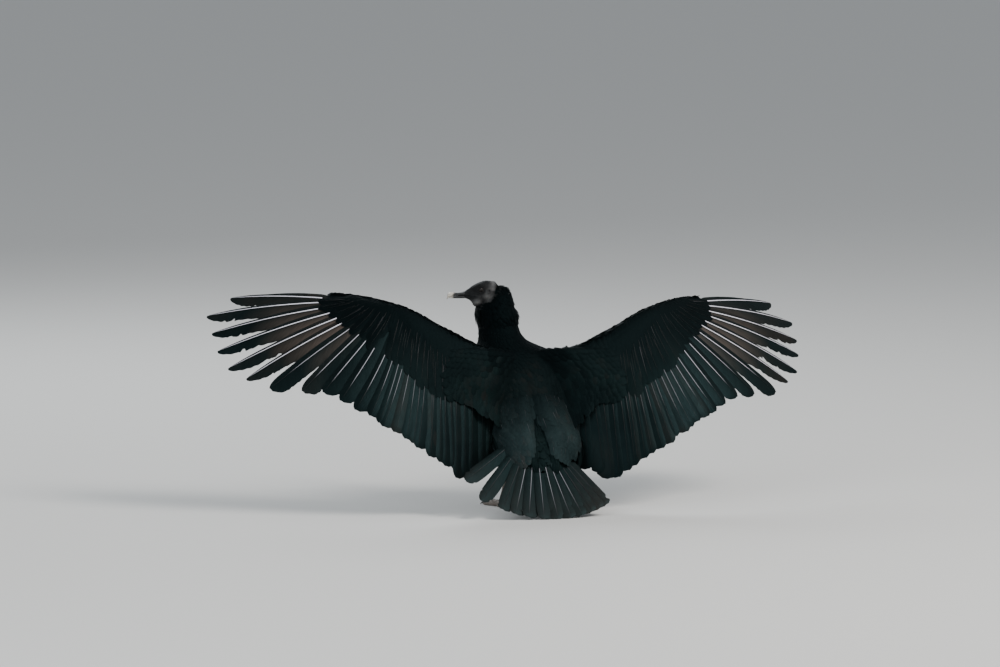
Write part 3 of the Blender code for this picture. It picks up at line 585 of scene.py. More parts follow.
# ------------------------------------------------------------------------------------------------------
# Flight feathers of the wings
# Ten primaries, thirteen secondaries and five tertials a side. Each is a thin closed vane whose barbs run
# out from the shaft towards the tip, with the shaft as a rib that shows on its back and its belly.
# ------------------------------------------------------------------------------------------------------
PRIMARIES = (  # from the outermost in: degrees below level, degrees of bend, length
    (3.5, 14.0, 0.284), (11.0, 14.0, 0.342), (18.0, 13.0, 0.346), (24.5, 13.0, 0.346), (31.6, 12.0, 0.346),
    (37.8, 12.0, 0.333), (45.5, 10.0, 0.313), (52.0, 8.0, 0.280), (59.0, 7.0, 0.260), (64.5, 6.0, 0.258))
# Half widths of a vane from its root to its tip, in front of the shaft and behind it.
LONG_LEAD = (0.009, 0.011, 0.011, 0.009, 0.0060, 0.0050, 0.0036)
LONG_TRAIL = (0.024, 0.030, 0.033, 0.031, 0.026, 0.025, 0.022)
INNER_LEAD, INNER_TRAIL = (0.010, 0.013, 0.013, 0.012, 0.012), (0.020, 0.027, 0.030, 0.030, 0.028)


def shaft_line(base, fall, bend, length, r):
    """Points and headings along a feather's shaft, flat on the plane it is laid out on."""
    start, turn = math.radians(fall - bend / 2), math.radians(bend)
    end = start + turn * r
    line = np.stack((np.sin(end) - math.sin(start), np.cos(end) - math.cos(start)), -1) / turn
    return np.asarray(base) + line * length, np.stack((np.cos(end), -np.sin(end)), -1)


class Feathers:
    """Closed vanes and shafts gathered into one mesh, with what their material reads."""

    def __init__(self):
        self.points, self.faces, self.rims, self.read, self.count = [], [], [], {}, 0

    def add(self, points, faces, rim=False, **read):
        corners = points[faces]
        volume = np.einsum("ij,ij->", np.cross(corners[:, 0] - points[0], corners[:, 1] - points[0]),
                           corners[:, 2] - points[0])
        volume += np.einsum("ij,ij->", np.cross(corners[:, 0] - points[0], corners[:, 2] - points[0]),
                            corners[:, 3] - points[0])
        if volume < 0:
            faces = faces[:, ::-1]
        self.faces.append(faces + self.count)
        self.points.append(points)
        self.rims.append(np.zeros(len(points), bool) | rim)
        self.count += len(points)
        for name, value in read.items():
            wide = np.zeros((len(points), 2)) if name in ("Vane", "OFBake") else np.zeros(len(points))
            self.read.setdefault(name, []).append(wide + value)

    def finish(self, name, material):
        points, faces = np.concatenate(self.points), np.concatenate(self.faces)
        mesh = bpy.data.meshes.new(name)
        mesh.vertices.add(len(points))
        mesh.vertices.foreach_set("co", points.astype(np.float32).ravel())
        mesh.loops.add(faces.size)
        mesh.loops.foreach_set("vertex_index", faces.astype(np.int32).ravel())
        mesh.polygons.add(len(faces))
        mesh.polygons.foreach_set("loop_start", np.arange(0, faces.size, 4, dtype=np.int32))
        mesh.update(calc_edges=True)
        for label, store in self.read.items():
            value = np.concatenate(store).astype(np.float32)
            if value.ndim == 2:
                mesh.uv_layers.new(name=label).data.foreach_set("uv", value[faces.ravel()].ravel())
            else:
                marked(mesh, label, value)
        mesh.shade_smooth()
        ends = np.empty(len(mesh.edges) * 2, np.int32)
        mesh.edges.foreach_get("vertices", ends)
        rim = np.concatenate(self.rims)[ends].reshape(-1, 2).all(1)
        mesh.attributes.new("sharp_edge", "BOOLEAN", "EDGE").data.foreach_set("value", rim)
        mesh.materials.append(material)
        return linked(name, mesh)


def laid_vane(store, to_space, feather, lead, trail, rows, cols, rise, lap, patch, tone, pale=0.0, start=0.08,
              notches=(), slant=0.85, blunt=0.80, thick=0.0007, camber=0.0010, wave=0.0):
    """One vane. lead and trail are half widths along it, rise its height, lap its lean over its neighbour."""
    base, fall, bend, length = feather
    r = start + (1 - start) * np.linspace(0, 1, rows) ** 0.92
    c = np.linspace(-1, 1, cols)
    line, heading = shaft_line(base, fall, bend, length, r)
    rear = np.stack((heading[:, 1], -heading[:, 0]), -1)
    tip = np.sqrt(np.clip(1 - np.clip((r - blunt) / (1.004 - blunt), 0, 1) ** 2.3, 0.004, 1))
    root = np.clip((r - start) / 0.12 + 0.1, 0.1, 1) ** 0.7
    halves = [np.interp(r, np.linspace(0, 1, len(w)), w) * tip * root for w in (lead, trail)]
    for side, place, depth, span in notches:
        halves[side] = halves[side] * (1 - depth * np.clip(1 - np.abs(r - place) / span, 0, 1) ** 0.8)
    fray = 1 + 0.035 * np.sin(r * 97 + tone * 40) * np.clip((r - 0.4) * 3, 0, 1)
    across = np.where(c < 0, halves[0][:, None], (halves[1] * fray)[:, None]) * c
    swept = slant * (1 - 0.8 * np.clip((r - 0.72) / 0.26, 0, 1))[:, None]
    flat = (line[:, None] + rear[:, None] * across[..., None]
            + heading[:, None] * (np.abs(across) * swept)[..., None])
    height = (rise(flat[..., 0], flat[..., 1], r[:, None]) - lap * across
              + camber * (1 - np.abs(c) ** 1.6) * tip[:, None]
              + wave * np.sin(r * 9 + tone * 20)[:, None] * across)
    body = thick * (1 - 0.5 * r)[:, None] * (1 - 0.5 * np.abs(c)) / 2
    points = to_space(flat[..., 0], flat[..., 1], height)
    inside = (slice(1, -1), slice(1, -1))
    high = to_space(flat[..., 0], flat[..., 1], height + body)
    under = to_space(flat[..., 0], flat[..., 1], height - body)
    points[inside] = high[inside]
    top = np.arange(rows * cols).reshape(rows, cols)
    low = top.copy()
    low[inside] = rows * cols + np.arange((rows - 2) * (cols - 2)).reshape(rows - 2, cols - 2)
    faces = np.concatenate([np.stack(order, -1).reshape(-1, 4) for order in (
        (top[:-1, :-1], top[1:, :-1], top[1:, 1:], top[:-1, 1:]),
        (low[:-1, :-1], low[:-1, 1:], low[1:, 1:], low[1:, :-1]))])

    def both(grid):
        grid = np.broadcast_to(grid, (rows, cols))
        return np.concatenate((grid.ravel(), grid[inside].ravel()))

    below = np.concatenate((np.zeros(rows * cols), np.ones((rows - 2) * (cols - 2))))
    place = np.stack(((both(c) * 0.23 + 0.25) + below * 0.5, both(r[:, None])), -1)
    rim = np.ones((rows, cols), bool)
    rim[inside] = False
    store.add(np.concatenate((points.reshape(-1, 3), under[inside].reshape(-1, 3))), faces,
              rim=np.concatenate((rim.ravel(), np.zeros((rows - 2) * (cols - 2), bool))),
              tone=tone, under=below,
              pale=both(pale(r[:, None], c) if callable(pale) else np.full((1, 1), pale)),
              Vane=np.stack((both(across), both(r[:, None]) * length), -1),
              OFBake=np.array(patch[:2]) + place * np.array(patch[2:]))


def laid_shaft(store, to_space, feather, radius, rise, patch, pale,
               rows=24, reach=0.97, proud=0.0005, start=0.0):
    """A shaft as a tapering rib that shows on both faces of its vane."""
    base, fall, bend, length = feather
    r = start + (reach - start) * np.linspace(0, 1, rows)
    line, heading = shaft_line(base, fall, bend, length, r)
    rear = np.stack((heading[:, 1], -heading[:, 0]), -1)
    turn = side_turn(6)
    size = radius * (0.16 + 0.84 * (1 - r / reach) ** 0.75)
    flat = line[:, None] + rear[:, None] * (size[:, None] * np.cos(turn))[..., None]
    height = rise(flat[..., 0], flat[..., 1], r[:, None]) + proud + size[:, None] * 0.75 * np.sin(turn)
    points = to_space(flat[..., 0], flat[..., 1], height).reshape(-1, 3)
    at = np.arange(rows * 6).reshape(rows, 6)
    there = np.roll(at, -1, 1)
    a, b = at[0], at[-1]
    faces = np.concatenate((np.stack((at[:-1], there[:-1], there[1:], at[1:]), -1).reshape(-1, 4),
                            [(a[3], a[2], a[1], a[0]), (a[5], a[4], a[3], a[0]), (b[0], b[1], b[2], b[3]),
                             (b[0], b[3], b[4], b[5])]))
    grid_r = np.repeat(r, 6)
    store.add(points, faces, pale=pale(grid_r),
              Vane=np.stack((np.tile(turn, rows) * radius, grid_r * length), -1),
              OFBake=np.array(patch[:2])
              + np.stack((np.tile(turn / 6.3, rows), grid_r), -1) * np.array(patch[2:]))


SECONDARIES, TERTIALS, LAST_ROOT = 13, 5, (0.030, -0.004)
flight = []  # base, degrees below level, bend, length
for n, (fall, bend, length) in enumerate(PRIMARIES):
    flight.append((np.array(HAND_TIP) + (np.array(WRIST) - HAND_TIP) * n / len(PRIMARIES),
                   fall, bend, length))
for share in (np.arange(SECONDARIES) + 0.5) / SECONDARIES:
    flight.append((np.array(WRIST) + (np.array(ELBOW) - WRIST) * share,
                   66.5 + 19.0 * share**0.65, 4.0, 0.264))
for share in (np.arange(TERTIALS) + 0.5) / TERTIALS:
    flight.append((np.array(ELBOW) + (np.array(LAST_ROOT) - ELBOW) * share, 85.5 - 2.5 * share, 2.0,
                   0.274 - 0.038 * share + 0.018 * math.sin(math.pi * share)))

COVERT_EDGE = (  # u and v where the last row of coverts ends
    (-0.020, -0.118), (0.060, -0.120), (0.140, -0.116), (0.200, -0.102), (0.247, -0.066), (0.262, -0.046),
    (0.295, -0.019), (0.317, -0.001), (0.346, 0.026), (0.366, 0.040), (0.391, 0.058), (0.426, 0.093),
    (0.440, 0.108), (0.447, 0.200))
edge_u, edge_low = np.array(COVERT_EDGE).T


def covert_length(feather):
    """How far a covert that shares the feather's line runs before it meets the edge of the coverts."""
    r = np.linspace(0, 0.7, 60)
    line = shaft_line(*feather, r)[0]
    past = np.argmax(line[:, 1] < np.interp(line[:, 0], edge_u, edge_low))
    return (r[past] if past else 0.25) * feather[3]


FINGERS = 6  # the outermost primaries, long, narrow and parted like fingers
WHITE_WEBS = (0.12, 0.45, 0.75, 0.9, 1.0, 1.0, 0.55)  # how pale the webs of the outermost primaries are
dice = np.random.default_rng(41)
for side, sign in SIDES:
    on_wing = wing_space(sign)
    store, ribs = Feathers(), Feathers()
    for n, feather in enumerate(flight):
        tone = dice.random()
        finger, silvery = n < FINGERS, n < len(WHITE_WEBS)
        notches = []
        if finger:
            splits, places = dice.integers(1, 3) + (3 if 2 <= n <= 4 else 0), (0.60, 0.88)
            depths, spans = (0.08, 0.26), (0.006, 0.016)
        else:
            splits, places, depths, spans = dice.integers(0, 3), (0.80, 0.98), (0.08, 0.22), (0.010, 0.022)
        for k in range(splits):
            notches.append((1, dice.uniform(*places), dice.uniform(*depths), dice.uniform(*spans)))
        web = WHITE_WEBS[n] if silvery else 0.0
        pale = (lambda r, c, web=web: web * np.clip((0.72 - r) / 0.42, 0, 1)
                * np.clip(0.10 + 1.5 * c * (1.25 - c) + 0 * r, 0.05, 1))
        bent = (feather[0], feather[1] + dice.normal(0, 0.5 if silvery else 0.9), feather[2],
                feather[3] * (1 - abs(dice.normal(0, 0.012))))
        rise = (lambda u, v, r, n=n: 0.0006 - 0.0016 * r * (n >= len(PRIMARIES)) + 0 * u)
        patch = (0.01 + n * 0.035, 0.01, 0.033, 0.97)
        lead, trail = (LONG_LEAD, LONG_TRAIL) if finger else (INNER_LEAD, INNER_TRAIL)
        laid_vane(store, on_wing, bent, lead, trail, 56 if finger else 34, 9, rise, 0.055, patch, tone, pale,
                  notches=notches, blunt=0.74 if finger else 0.86, thick=0.0008, wave=0.02,
                  camber=0.0010 if silvery else 0.0024)
        clear = covert_length(feather) / feather[3]
        shown, bright = 1.02, 1.0
        if not finger:
            shown = clear + (np.interp(n, (6, 8, 14, 20, 27), (0.50, 0.42, 0.30, 0.16, 0.10))
                             * dice.uniform(0.8, 1.15))
            bright = (np.interp(n, (6, 10, 13, 16, 27), (0.90, 0.42, 0.24, 0.10, 0.03))
                      * dice.uniform(0.6, 1.15))
        white = (lambda r, shown=shown, bright=bright: bright * np.clip((shown - r) / 0.12, 0.02, 1))
        thick = 0.0016 if finger else 0.0011 if n < 11 else 0.0008
        laid_shaft(ribs, on_wing, bent, thick, rise, patch, white, proud=0.0016 if silvery else 0.0030,
                   start=clear - 0.02)
    made = store.finish(f"wing_vanes_{side}", flight_paint)
    ribs = ribs.finish(f"wing_shafts_{side}", shaft_paint)
    for piece in (made, ribs):
        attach(piece, "root")
    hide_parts(f"wing_{side}_hand")

# ------------------------------------------------------------------------------------------------------
# Colours of the skin
# The bare head is dark grey, wrinkled and scaly, blackish on the forehead and paler on the cheek, the back
# of the crown and the throat. The legs are pale greyish brown scales. Under the plumage the skin is black.
# ------------------------------------------------------------------------------------------------------
def shank_gap(points):
    """How far points in the body's frame lie from the axis of the nearer shank."""
    points = points * np.where(points[:, :1] < 0, (-1.0, 1.0, 1.0), (1.0, 1.0, 1.0))
    axis = np.array(ANKLE) - HOCK
    share = np.clip((points - HOCK) @ axis / (axis @ axis), 0, 1)
    return np.linalg.norm(points - HOCK - share[:, None] * axis, axis=1)


count = len(skin.data.vertices)
skin_co, skin_normal = np.empty((count, 3), np.float32), np.empty((count, 3), np.float32)
skin.data.vertices.foreach_get("co", skin_co.reshape(-1))
skin.data.vertices.foreach_get("normal", skin_normal.reshape(-1))
skin_at = (skin_co - ORIGIN) / SIZE
a, s, h = ((skin_at - np.array(HEAD_AT)) @ turned).T
HOOD_LINE = (  # up the head, place along the head where the feathers begin
    (-0.0345, 0.010), (-0.030, 0.002), (-0.026, -0.015),
    (-0.0115, -0.023), (0.0063, -0.0285), (0.012, -0.030))
hood_h, hood_a = np.array(HOOD_LINE).T
warp = cloud(skin_co, 0.010, 41)
bare_here = (np.clip((a - np.interp(h, hood_h, hood_a) + 0.004) / 0.005, 0, 1)
             * np.clip((h + 0.042) / 0.004, 0, 1)
             * (skin_at[:, 2] > 0.42))
eye_near = np.hypot(a - EYE.x, h)
cheek = bell(a + 0.012, 0.011) * bell(h + 0.012, 0.013)
rear_crown = bell(a + 0.0225, 0.0065) * np.clip((h + 0.004) / 0.006, 0, 1)
throat = bell(h + 0.0275, 0.0055) * bell(a - 0.0130, 0.0085)
pale_skin = np.clip((0.85 * rear_crown + 0.44 * cheek + 0.95 * throat) * (0.85 + 0.5 * warp), 0, 1)
forehead = bell(a - 0.012, 0.016) * np.clip((h - 0.001) / 0.008, 0, 1)
lores = bell(a - 0.020, 0.009) * bell(h + 0.001, 0.007)
dark_skin = np.clip(forehead + lores + bell(eye_near - 0.0075, 0.0036), 0, 1)
leg_here = (np.clip((0.100 - skin_at[:, 2]) / 0.006, 0, 1)
            * ((shank_gap(skin_at) < 0.016) | (skin_at[:, 2] < 0.035)))
for label, value in (("bare", bare_here), ("pale", pale_skin), ("dark", dark_skin), ("leg", leg_here)):
    marked(skin.data, label, value)

skin_paint, tree, shader = new_paint("bare_skin")
where = object_place(tree)
fine = noise(tree, where, 420.0, 5.0, Roughness=0.65)
mottle = noise(tree, where, 120.0, 4.0)
scales = wire(tree, "ShaderNodeTexVoronoi", {"Vector": where, "Scale": 620.0, "Randomness": 0.9},
              feature="DISTANCE_TO_EDGE").outputs["Distance"]
base = ramp(tree, mottle, (0.30, (0.0030, 0.0036, 0.0042)), (0.70, (0.0100, 0.0105, 0.0112)))
pale = ramp(tree, mottle, (0.30, (0.070, 0.071, 0.073)), (0.70, (0.165, 0.163, 0.160)))
base = mixed(tree, attribute(tree, "pale"), base, pale)
base = mixed(tree, attribute(tree, "dark"), base, (0.0020, 0.0022, 0.0026))
crack = ramp(tree, scales, (0.0, (0.45, 0.45, 0.45)), (0.16, (1.1, 1.1, 1.1)))
cracked = maths(tree, "MULTIPLY_ADD", attribute(tree, "dark"), -0.40, 0.45)
base = mixed(tree, cracked, base, mixed(tree, 1.0, base, crack, "MULTIPLY"))
leg_colour = ramp(tree, mottle, (0.30, (0.16, 0.135, 0.115)), (0.72, (0.34, 0.30, 0.265)))
leg_colour = mixed(tree, 1.0, leg_colour,
                   ramp(tree, scales, (0.0, (0.40, 0.38, 0.36)), (0.20, (1.1, 1.1, 1.1))), "MULTIPLY")
colour = mixed(tree, attribute(tree, "bare"), (0.0020, 0.0028, 0.0030), base)
colour = mixed(tree, attribute(tree, "leg"), colour, leg_colour)
tree.links.new(colour, shader.inputs["Base Color"])
tree.links.new(ramp(tree, fine, (0.3, grey(0.50)), (0.7, grey(0.72))), shader.inputs["Roughness"])
height = maths(tree, "MULTIPLY_ADD", fine, 0.35, maths(tree, "MINIMUM", scales, 0.20))
tree.links.new(bumped(tree, height, 0.7, 0.0009), shader.inputs["Normal"])
shader.inputs["Subsurface Weight"].default_value = 0.04
shader.inputs["Subsurface Radius"].default_value = (0.003, 0.0015, 0.001)
shader.inputs["Specular IOR Level"].default_value = 0.16
skin.data.materials.clear()
skin.data.materials.append(skin_paint)

# ------------------------------------------------------------------------------------------------------
# Bill
# A slender horn bill of two halves over the jaws. The base is soft dark skin with an open nostril slit on
# each side, and the last third is a swollen ivory hook.
# ------------------------------------------------------------------------------------------------------
BILL_UPPER = (  # along the head, top, cutting edge, half width
    (0.0395, -0.0048, -0.0126, 0.0080), (0.0415, -0.0055, -0.0128, 0.0078), (0.050, -0.0082, -0.0138, 0.0062),
    (0.058, -0.0088, -0.0142, 0.0055), (0.066, -0.0072, -0.0150, 0.0056), (0.0725, -0.0072, -0.0168, 0.0050),
    (0.0768, -0.0102, -0.0205, 0.0036), (0.0785, -0.0150, -0.0228, 0.0016))
BILL_ROUND, NOSTRIL = 40, (0.0515, -0.0104)  # points round a section; the nostril along the head and up
BILL_LOWER = (
    (0.0395, -0.0130, -0.0195, 0.0074), (0.0415, -0.0132, -0.0194, 0.0072), (0.052, -0.0142, -0.0188, 0.0055),
    (0.063, -0.0151, -0.0190, 0.0046), (0.0700, -0.0163, -0.0192, 0.0034), (0.0735, -0.0176, -0.0190, 0.0014))

horn_paint, tree, shader = new_paint("bill_horn")
where = object_place(tree)
fine = noise(tree, where, 300.0, 5.0)
cloudy = noise(tree, where, 95.0, 3.0)
edge = maths(tree, "MULTIPLY_ADD", cloudy, 0.5, attribute(tree, "ivory"))
dark = ramp(tree, fine, (0.3, (0.0045, 0.0048, 0.0052)), (0.7, (0.0150, 0.0145, 0.0145)))
ivory = ramp(tree, fine, (0.3, (0.42, 0.38, 0.32)), (0.7, (0.60, 0.56, 0.49)))
tree.links.new(mixed(tree, ramp(tree, edge, (0.55, BLACK), (0.95, WHITE)), dark, ivory),
               shader.inputs["Base Color"])
tree.links.new(ramp(tree, edge, (0.5, grey(0.55)), (1.0, grey(0.30))), shader.inputs["Roughness"])
tree.links.new(bumped(tree, fine, 0.35, 0.0005), shader.inputs["Normal"])

for name, rows, node in (("bill_top", BILL_UPPER, "bill_upper"), ("bill_bottom", BILL_LOWER, "bill_lower")):
    along = np.linspace(rows[0][0], rows[-1][0], 84)
    top, bottom, width = np.moveaxis(eased(rows, along), -1, 0)
    turn = side_turn(BILL_ROUND)
    cosine, sine = np.cos(turn), np.sin(turn)
    upper_half = name == "bill_top"
    if upper_half:
        top = top + 0.0011 * bell(along - 0.055, 0.012)
    else:
        bottom = bottom - 0.0013 * bell(along - 0.054, 0.014)
    # The ridge is round and the cutting edge is sharp and a little overhung.
    flat = np.where((sine < 0) == upper_half, 0.55, 0.95)
    side_way = np.sign(cosine) * np.abs(cosine) ** 0.82
    rise = np.sign(sine) * np.abs(sine) ** np.where((sine < 0) == upper_half, 0.55, 0.92)
    grid = np.stack((along[:, None] + 0 * cosine, width[:, None] * side_way,
                     ((top + bottom) / 2)[:, None] + ((top - bottom) / 2)[:, None] * rise), -1)
    if upper_half:
        past_slit = grid[..., 0] - NOSTRIL[0]
        slit = np.hypot(past_slit / 0.0034, (grid[..., 2] - NOSTRIL[1] + past_slit * 0.12) / 0.0011)
        hollow = np.clip(1 - slit, 0, 1) ** 0.5 * 0.0030 - 0.00035 * bell(slit - 1.25, 0.35)
        grid[..., 1] -= np.sign(grid[..., 1]) * hollow * (np.abs(cosine) > 0.2)
        grid[..., 1] *= 1 - 0.10 * bell(grid[..., 0] - 0.0600, 0.0022)
    made = tube(name, placed(grid @ turned.T + np.array(HEAD_AT)))
    cut = np.interp(along, (0.0600, 0.0690), (0.0, 0.75)) + 0.15 * np.clip((along - 0.069) / 0.006, 0, 1)
    ivory_here = np.concatenate((np.repeat(cut, BILL_ROUND), [cut[0], cut[-1]]))
    if upper_half:
        ridge = np.clip((grid[..., 2] + 0.0100) / 0.002, 0, 1).ravel()
        ivory_here[:-2] += ridge * 0.25 * (np.repeat(along, BILL_ROUND) > 0.056)
    marked(made.data, "ivory", ivory_here)
    made.data.materials.append(horn_paint)
    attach(made, "root")
    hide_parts(node)

# ------------------------------------------------------------------------------------------------------
# Eyes
# Round dark-brown eyes under a clear wet cornea, set in the lids.
# ------------------------------------------------------------------------------------------------------
eye_paint, tree, shader = new_paint("eye")
where = object_place(tree)
streaks = noise(tree, where, 900.0, 3.0)
iris = ramp(tree, streaks, (0.3, (0.005, 0.003, 0.0024)), (0.7, (0.012, 0.007, 0.005)))
ringed = attribute(tree, "ring")
colour = mixed(tree, ramp(tree, ringed, (0.40, BLACK), (0.44, WHITE)), (0.0015, 0.0015, 0.0018), iris)
colour = mixed(tree, ramp(tree, ringed, (0.80, BLACK), (0.92, WHITE)), colour, (0.0030, 0.0028, 0.0028))
tree.links.new(colour, shader.inputs["Base Color"])
tree.links.new(ramp(tree, ringed, (0.0, grey(0.05)), (1.0, grey(0.12))), shader.inputs["Roughness"])
shader.inputs["Specular IOR Level"].default_value = 0.2
shader.inputs["Coat Weight"].default_value = 0.18
shader.inputs["Coat Roughness"].default_value = 0.03
shader.inputs["IOR"].default_value = 1.4

EYE_ROUND, EYE_RADIUS = 48, 0.0062
for side, sign in (("left", 1), ("right", -1)):
    # The head looks to the bird's left, so its left eye is on the side that carries a positive sign.
    centre = np.array((EYE.x, EYE.y * sign, EYE.z))
    polar = np.linspace(0.02, np.pi - 0.02, 34)
    turn = side_turn(EYE_ROUND)
    bulge = EYE_RADIUS + 0.00035 * bell(polar, 0.55)
    grid = centre + np.stack((bulge[:, None] * np.sin(polar)[:, None] * np.cos(turn),
                              (sign * bulge * np.cos(polar))[:, None] + 0 * turn,
                              bulge[:, None] * np.sin(polar)[:, None] * np.sin(turn)), -1)
    made = tube(f"eyeball_{side}", placed(grid @ turned.T + np.array(HEAD_AT)))
    ring = np.concatenate((np.repeat(np.sin(np.minimum(polar, np.pi / 2)) / 0.80, EYE_ROUND), [0.0, 1.2]))
    marked(made.data, "ring", ring)
    made.data.materials.append(eye_paint)
    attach(made, "root")
    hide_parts(f"eye_{side}")

# ------------------------------------------------------------------------------------------------------
# Claws
# Short curved horn claws, dark and glossy, one at the end of each toe.
# ------------------------------------------------------------------------------------------------------
claw_paint, tree, shader = new_paint("claw_horn")
where = object_place(tree)
fine = noise(tree, where, 380.0, 4.0)
tree.links.new(ramp(tree, fine, (0.3, (0.016, 0.014, 0.013)), (0.7, (0.060, 0.050, 0.044))),
               shader.inputs["Base Color"])
tree.links.new(ramp(tree, fine, (0.3, grey(0.26)), (0.7, grey(0.46))), shader.inputs["Roughness"])
tree.links.new(bumped(tree, fine, 0.25, 0.0004), shader.inputs["Normal"])
for side, sign in SIDES:
    sole = np.array((ANKLE[0] * sign, ANKLE[1], 0.0))
    for name, degrees, length, width, claw_length in TOES:
        ahead, beside_claw = toe_ways(degrees, sign)
        share = np.linspace(0, 1, 26)
        drop = 0.0042 - 0.0032 * share**2 + 0.0012 * np.sin(share * np.pi)
        radius = 0.0030 * (1 - share) ** 0.9 + 0.0006
        turn = side_turn(16)
        start = sole + ahead * (TOE_ROOT + length - 0.0008)
        grid = (start + ahead * (claw_length * share)[:, None, None]
                + beside_claw * (radius[:, None] * 0.85 * np.cos(turn))[..., None]
                + np.array((0, 0, 1.0)) * (drop[:, None] + radius[:, None] * np.sin(turn))[..., None])
        grid[..., 2] = np.maximum(grid[..., 2], 0.0002)
        made = tube(f"horn_{name}_{side}", placed(grid))
        made.data.materials.append(claw_paint)
        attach(made, "root")
        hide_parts(f"claw_{name}_{side}")

# ------------------------------------------------------------------------------------------------------
# Coverts of the wings
# Rows of shorter feathers that lap the roots of the flight feathers like tiles, on the back of the wing and
# under it, with the four stiff feathers of the thumb at the wrist.
# ------------------------------------------------------------------------------------------------------
def arm_depth(u, v):
    """How far the flesh of the arm lifts the coverts: round at the front, faded out behind."""
    thick = np.interp(u, (0.0, 0.14, 0.26, 0.40, 0.44), (0.020, 0.014, 0.009, 0.004, 0.002)) / 2
    front = edge_v(u) - 0.0015
    back = (front - v) / (front - np.minimum(bone_v(u), front - 0.006) + 0.022)
    rising = np.sqrt(np.clip(1 - (1 - np.clip(back * 2, 0, 1)) ** 2, 0, 1))
    fading = np.clip((back - 0.5) / 1.5, 0, 1)
    return thick * rising * (1 - fading * fading * (3 - 2 * fading))


def nick(near, far, shallow, deep, span):
    """One split in a vane, in either half, between near and far along it and of a random depth."""
    return [(int(dice.integers(0, 2)), dice.uniform(near, far), dice.uniform(shallow, deep), span)]


COVERT_ROWS = (  # way to the leading edge, reach, feathers to a flight feather, half width, height
    (0.0, 1.00, 1, 0.0140, 0.0044), (0.06, 0.66, 1, 0.0120, 0.0050), (0.20, 0.46, 2, 0.0092, 0.0054),
    (0.38, 0.40, 2, 0.0088, 0.0055), (0.56, 0.35, 2, 0.0080, 0.0055), (0.74, 0.29, 2, 0.0074, 0.0052))
THUMB = ((0.262, 0.050), (0.270, 0.062), (0.276, 0.076), (0.283, 0.086))  # place along the wing, length
COVERT_ROOT = 0.012  # how much of a covert lies in front of the line it starts from
for side, sign in SIDES:
    on_wing = wing_space(sign)
    store, ribs = Feathers(), Feathers()
    for face in (1, -1):
        for row, (forward, reach, count, half, height) in enumerate(COVERT_ROWS[:6 if face > 0 else 5]):
            for n in range((len(flight) - 1) * count + 1):
                low, part = flight[n // count], (n % count) / count
                high = flight[min(n // count + 1, len(flight) - 1)]
                feather = [low[k] * (1 - part) + high[k] * part for k in range(4)]
                heading = math.radians(feather[1] - feather[2] / 2)
                length = covert_length(feather) * (1.0 if face > 0 else 0.92) * reach
                base = feather[0] - np.array((math.cos(heading), -math.sin(heading))) * COVERT_ROOT
                ahead = np.array((base[0] - 0.3 * forward * 0.05, edge_v(base[0])[0]))
                base = base + (ahead - base) * forward + dice.normal(0, 0.0012, 2)
                length = (length + COVERT_ROOT) * (1 + dice.normal(0, 0.05))
                swing = forward * np.interp(n / count, (0, 8, 16, 28), (24.0, 16.0, 0.0, 0.0))
                feather = base, feather[1] + swing + dice.normal(0, 2.2), 5.0, length
                wide = (half * np.interp(n / count, (0, 2, 5, 9, 12, 28), (0.58, 0.68, 0.80, 0.86, 1.0, 1.16))
                        * dice.uniform(0.90, 1.12))
                rise = (lambda u, v, r, face=face, height=height: face * (
                    height - 0.0016 * r - 0.0010 * (r < 0.2) + 1.02 * arm_depth(u, v)))
                tone = np.clip(dice.random() * 0.9 + (0.12 if n < 9 * count else 0), 0, 1)
                patch = (0.005 + (n / count) * 0.034, 0.01 + (0.5 if face < 0 else 0) + row * 0.08,
                         0.030 / count, 0.075)
                large = row < 2
                laid_vane(store, on_wing, feather, (wide * 0.7, wide * 0.95, wide * 0.9),
                          (wide * 0.8, wide * 1.2, wide * 1.1), 11 if large else 9, 7 if large else 5,
                          rise, 0.04, patch, tone, 0.0, start=0.04,
                          blunt=0.80 if row == 0 else 0.72, slant=0.55,
                          notches=nick(0.7, 0.95, 0, 0.25, 0.05), camber=0.0008, thick=0.0005, wave=0.02)
                if large and face > 0:
                    # The pale on a few covert shafts is a painted glint.
                    bright = dice.random() ** 8 * (0.22 if row == 0 else 0.05)
                    laid_shaft(ribs, on_wing, feather, 0.0007,
                               lambda u, v, r, rise=rise: rise(u, v, r) + 0.0009, patch,
                               lambda r, bright=bright: bright * np.clip((0.9 - r) * 2, 0, 1),
                               rows=8, reach=0.9, start=0.35)
    for n, (place, length) in enumerate(THUMB):
        base = np.array((place, edge_v(place)[0] - 0.010 + n * 0.001))
        feather = base, 12.0 - 6.0 * n / 3, 10.0, length
        rise = lambda u, v, r, n=n: 0.0075 - 0.0012 * n + 0.0004 + arm_depth(u, v) * 0.5 - 0.004 * r
        patch = (0.96, 0.01 + n * 0.1, 0.03, 0.09)
        laid_vane(store, on_wing, feather, (0.005, 0.006, 0.005), (0.010, 0.013, 0.011), 18, 7, rise,
                  0.08, patch, 0.3 + 0.1 * n, 0.0, start=0.05, blunt=0.8, slant=0.7, camber=0.0012)
    made = store.finish(f"wing_coverts_{side}", body_paint)
    ribs = ribs.finish(f"covert_shafts_{side}", shaft_paint)
    for piece in (made, ribs):
        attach(piece, "root")
    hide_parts(f"wing_{side}_forearm")

# ------------------------------------------------------------------------------------------------------
# Tail feathers
# Twelve stiff feathers in a fan, the middle pair on top, bent down onto the floor. The two outermost on the
# left are spread away from the rest.
# ------------------------------------------------------------------------------------------------------
TAIL_PIVOT, TAIL_SLOPE, TAIL_RADIUS = np.array((-0.005, -0.030, 0.1865)), math.radians(50.0), (0.060, 0.245)
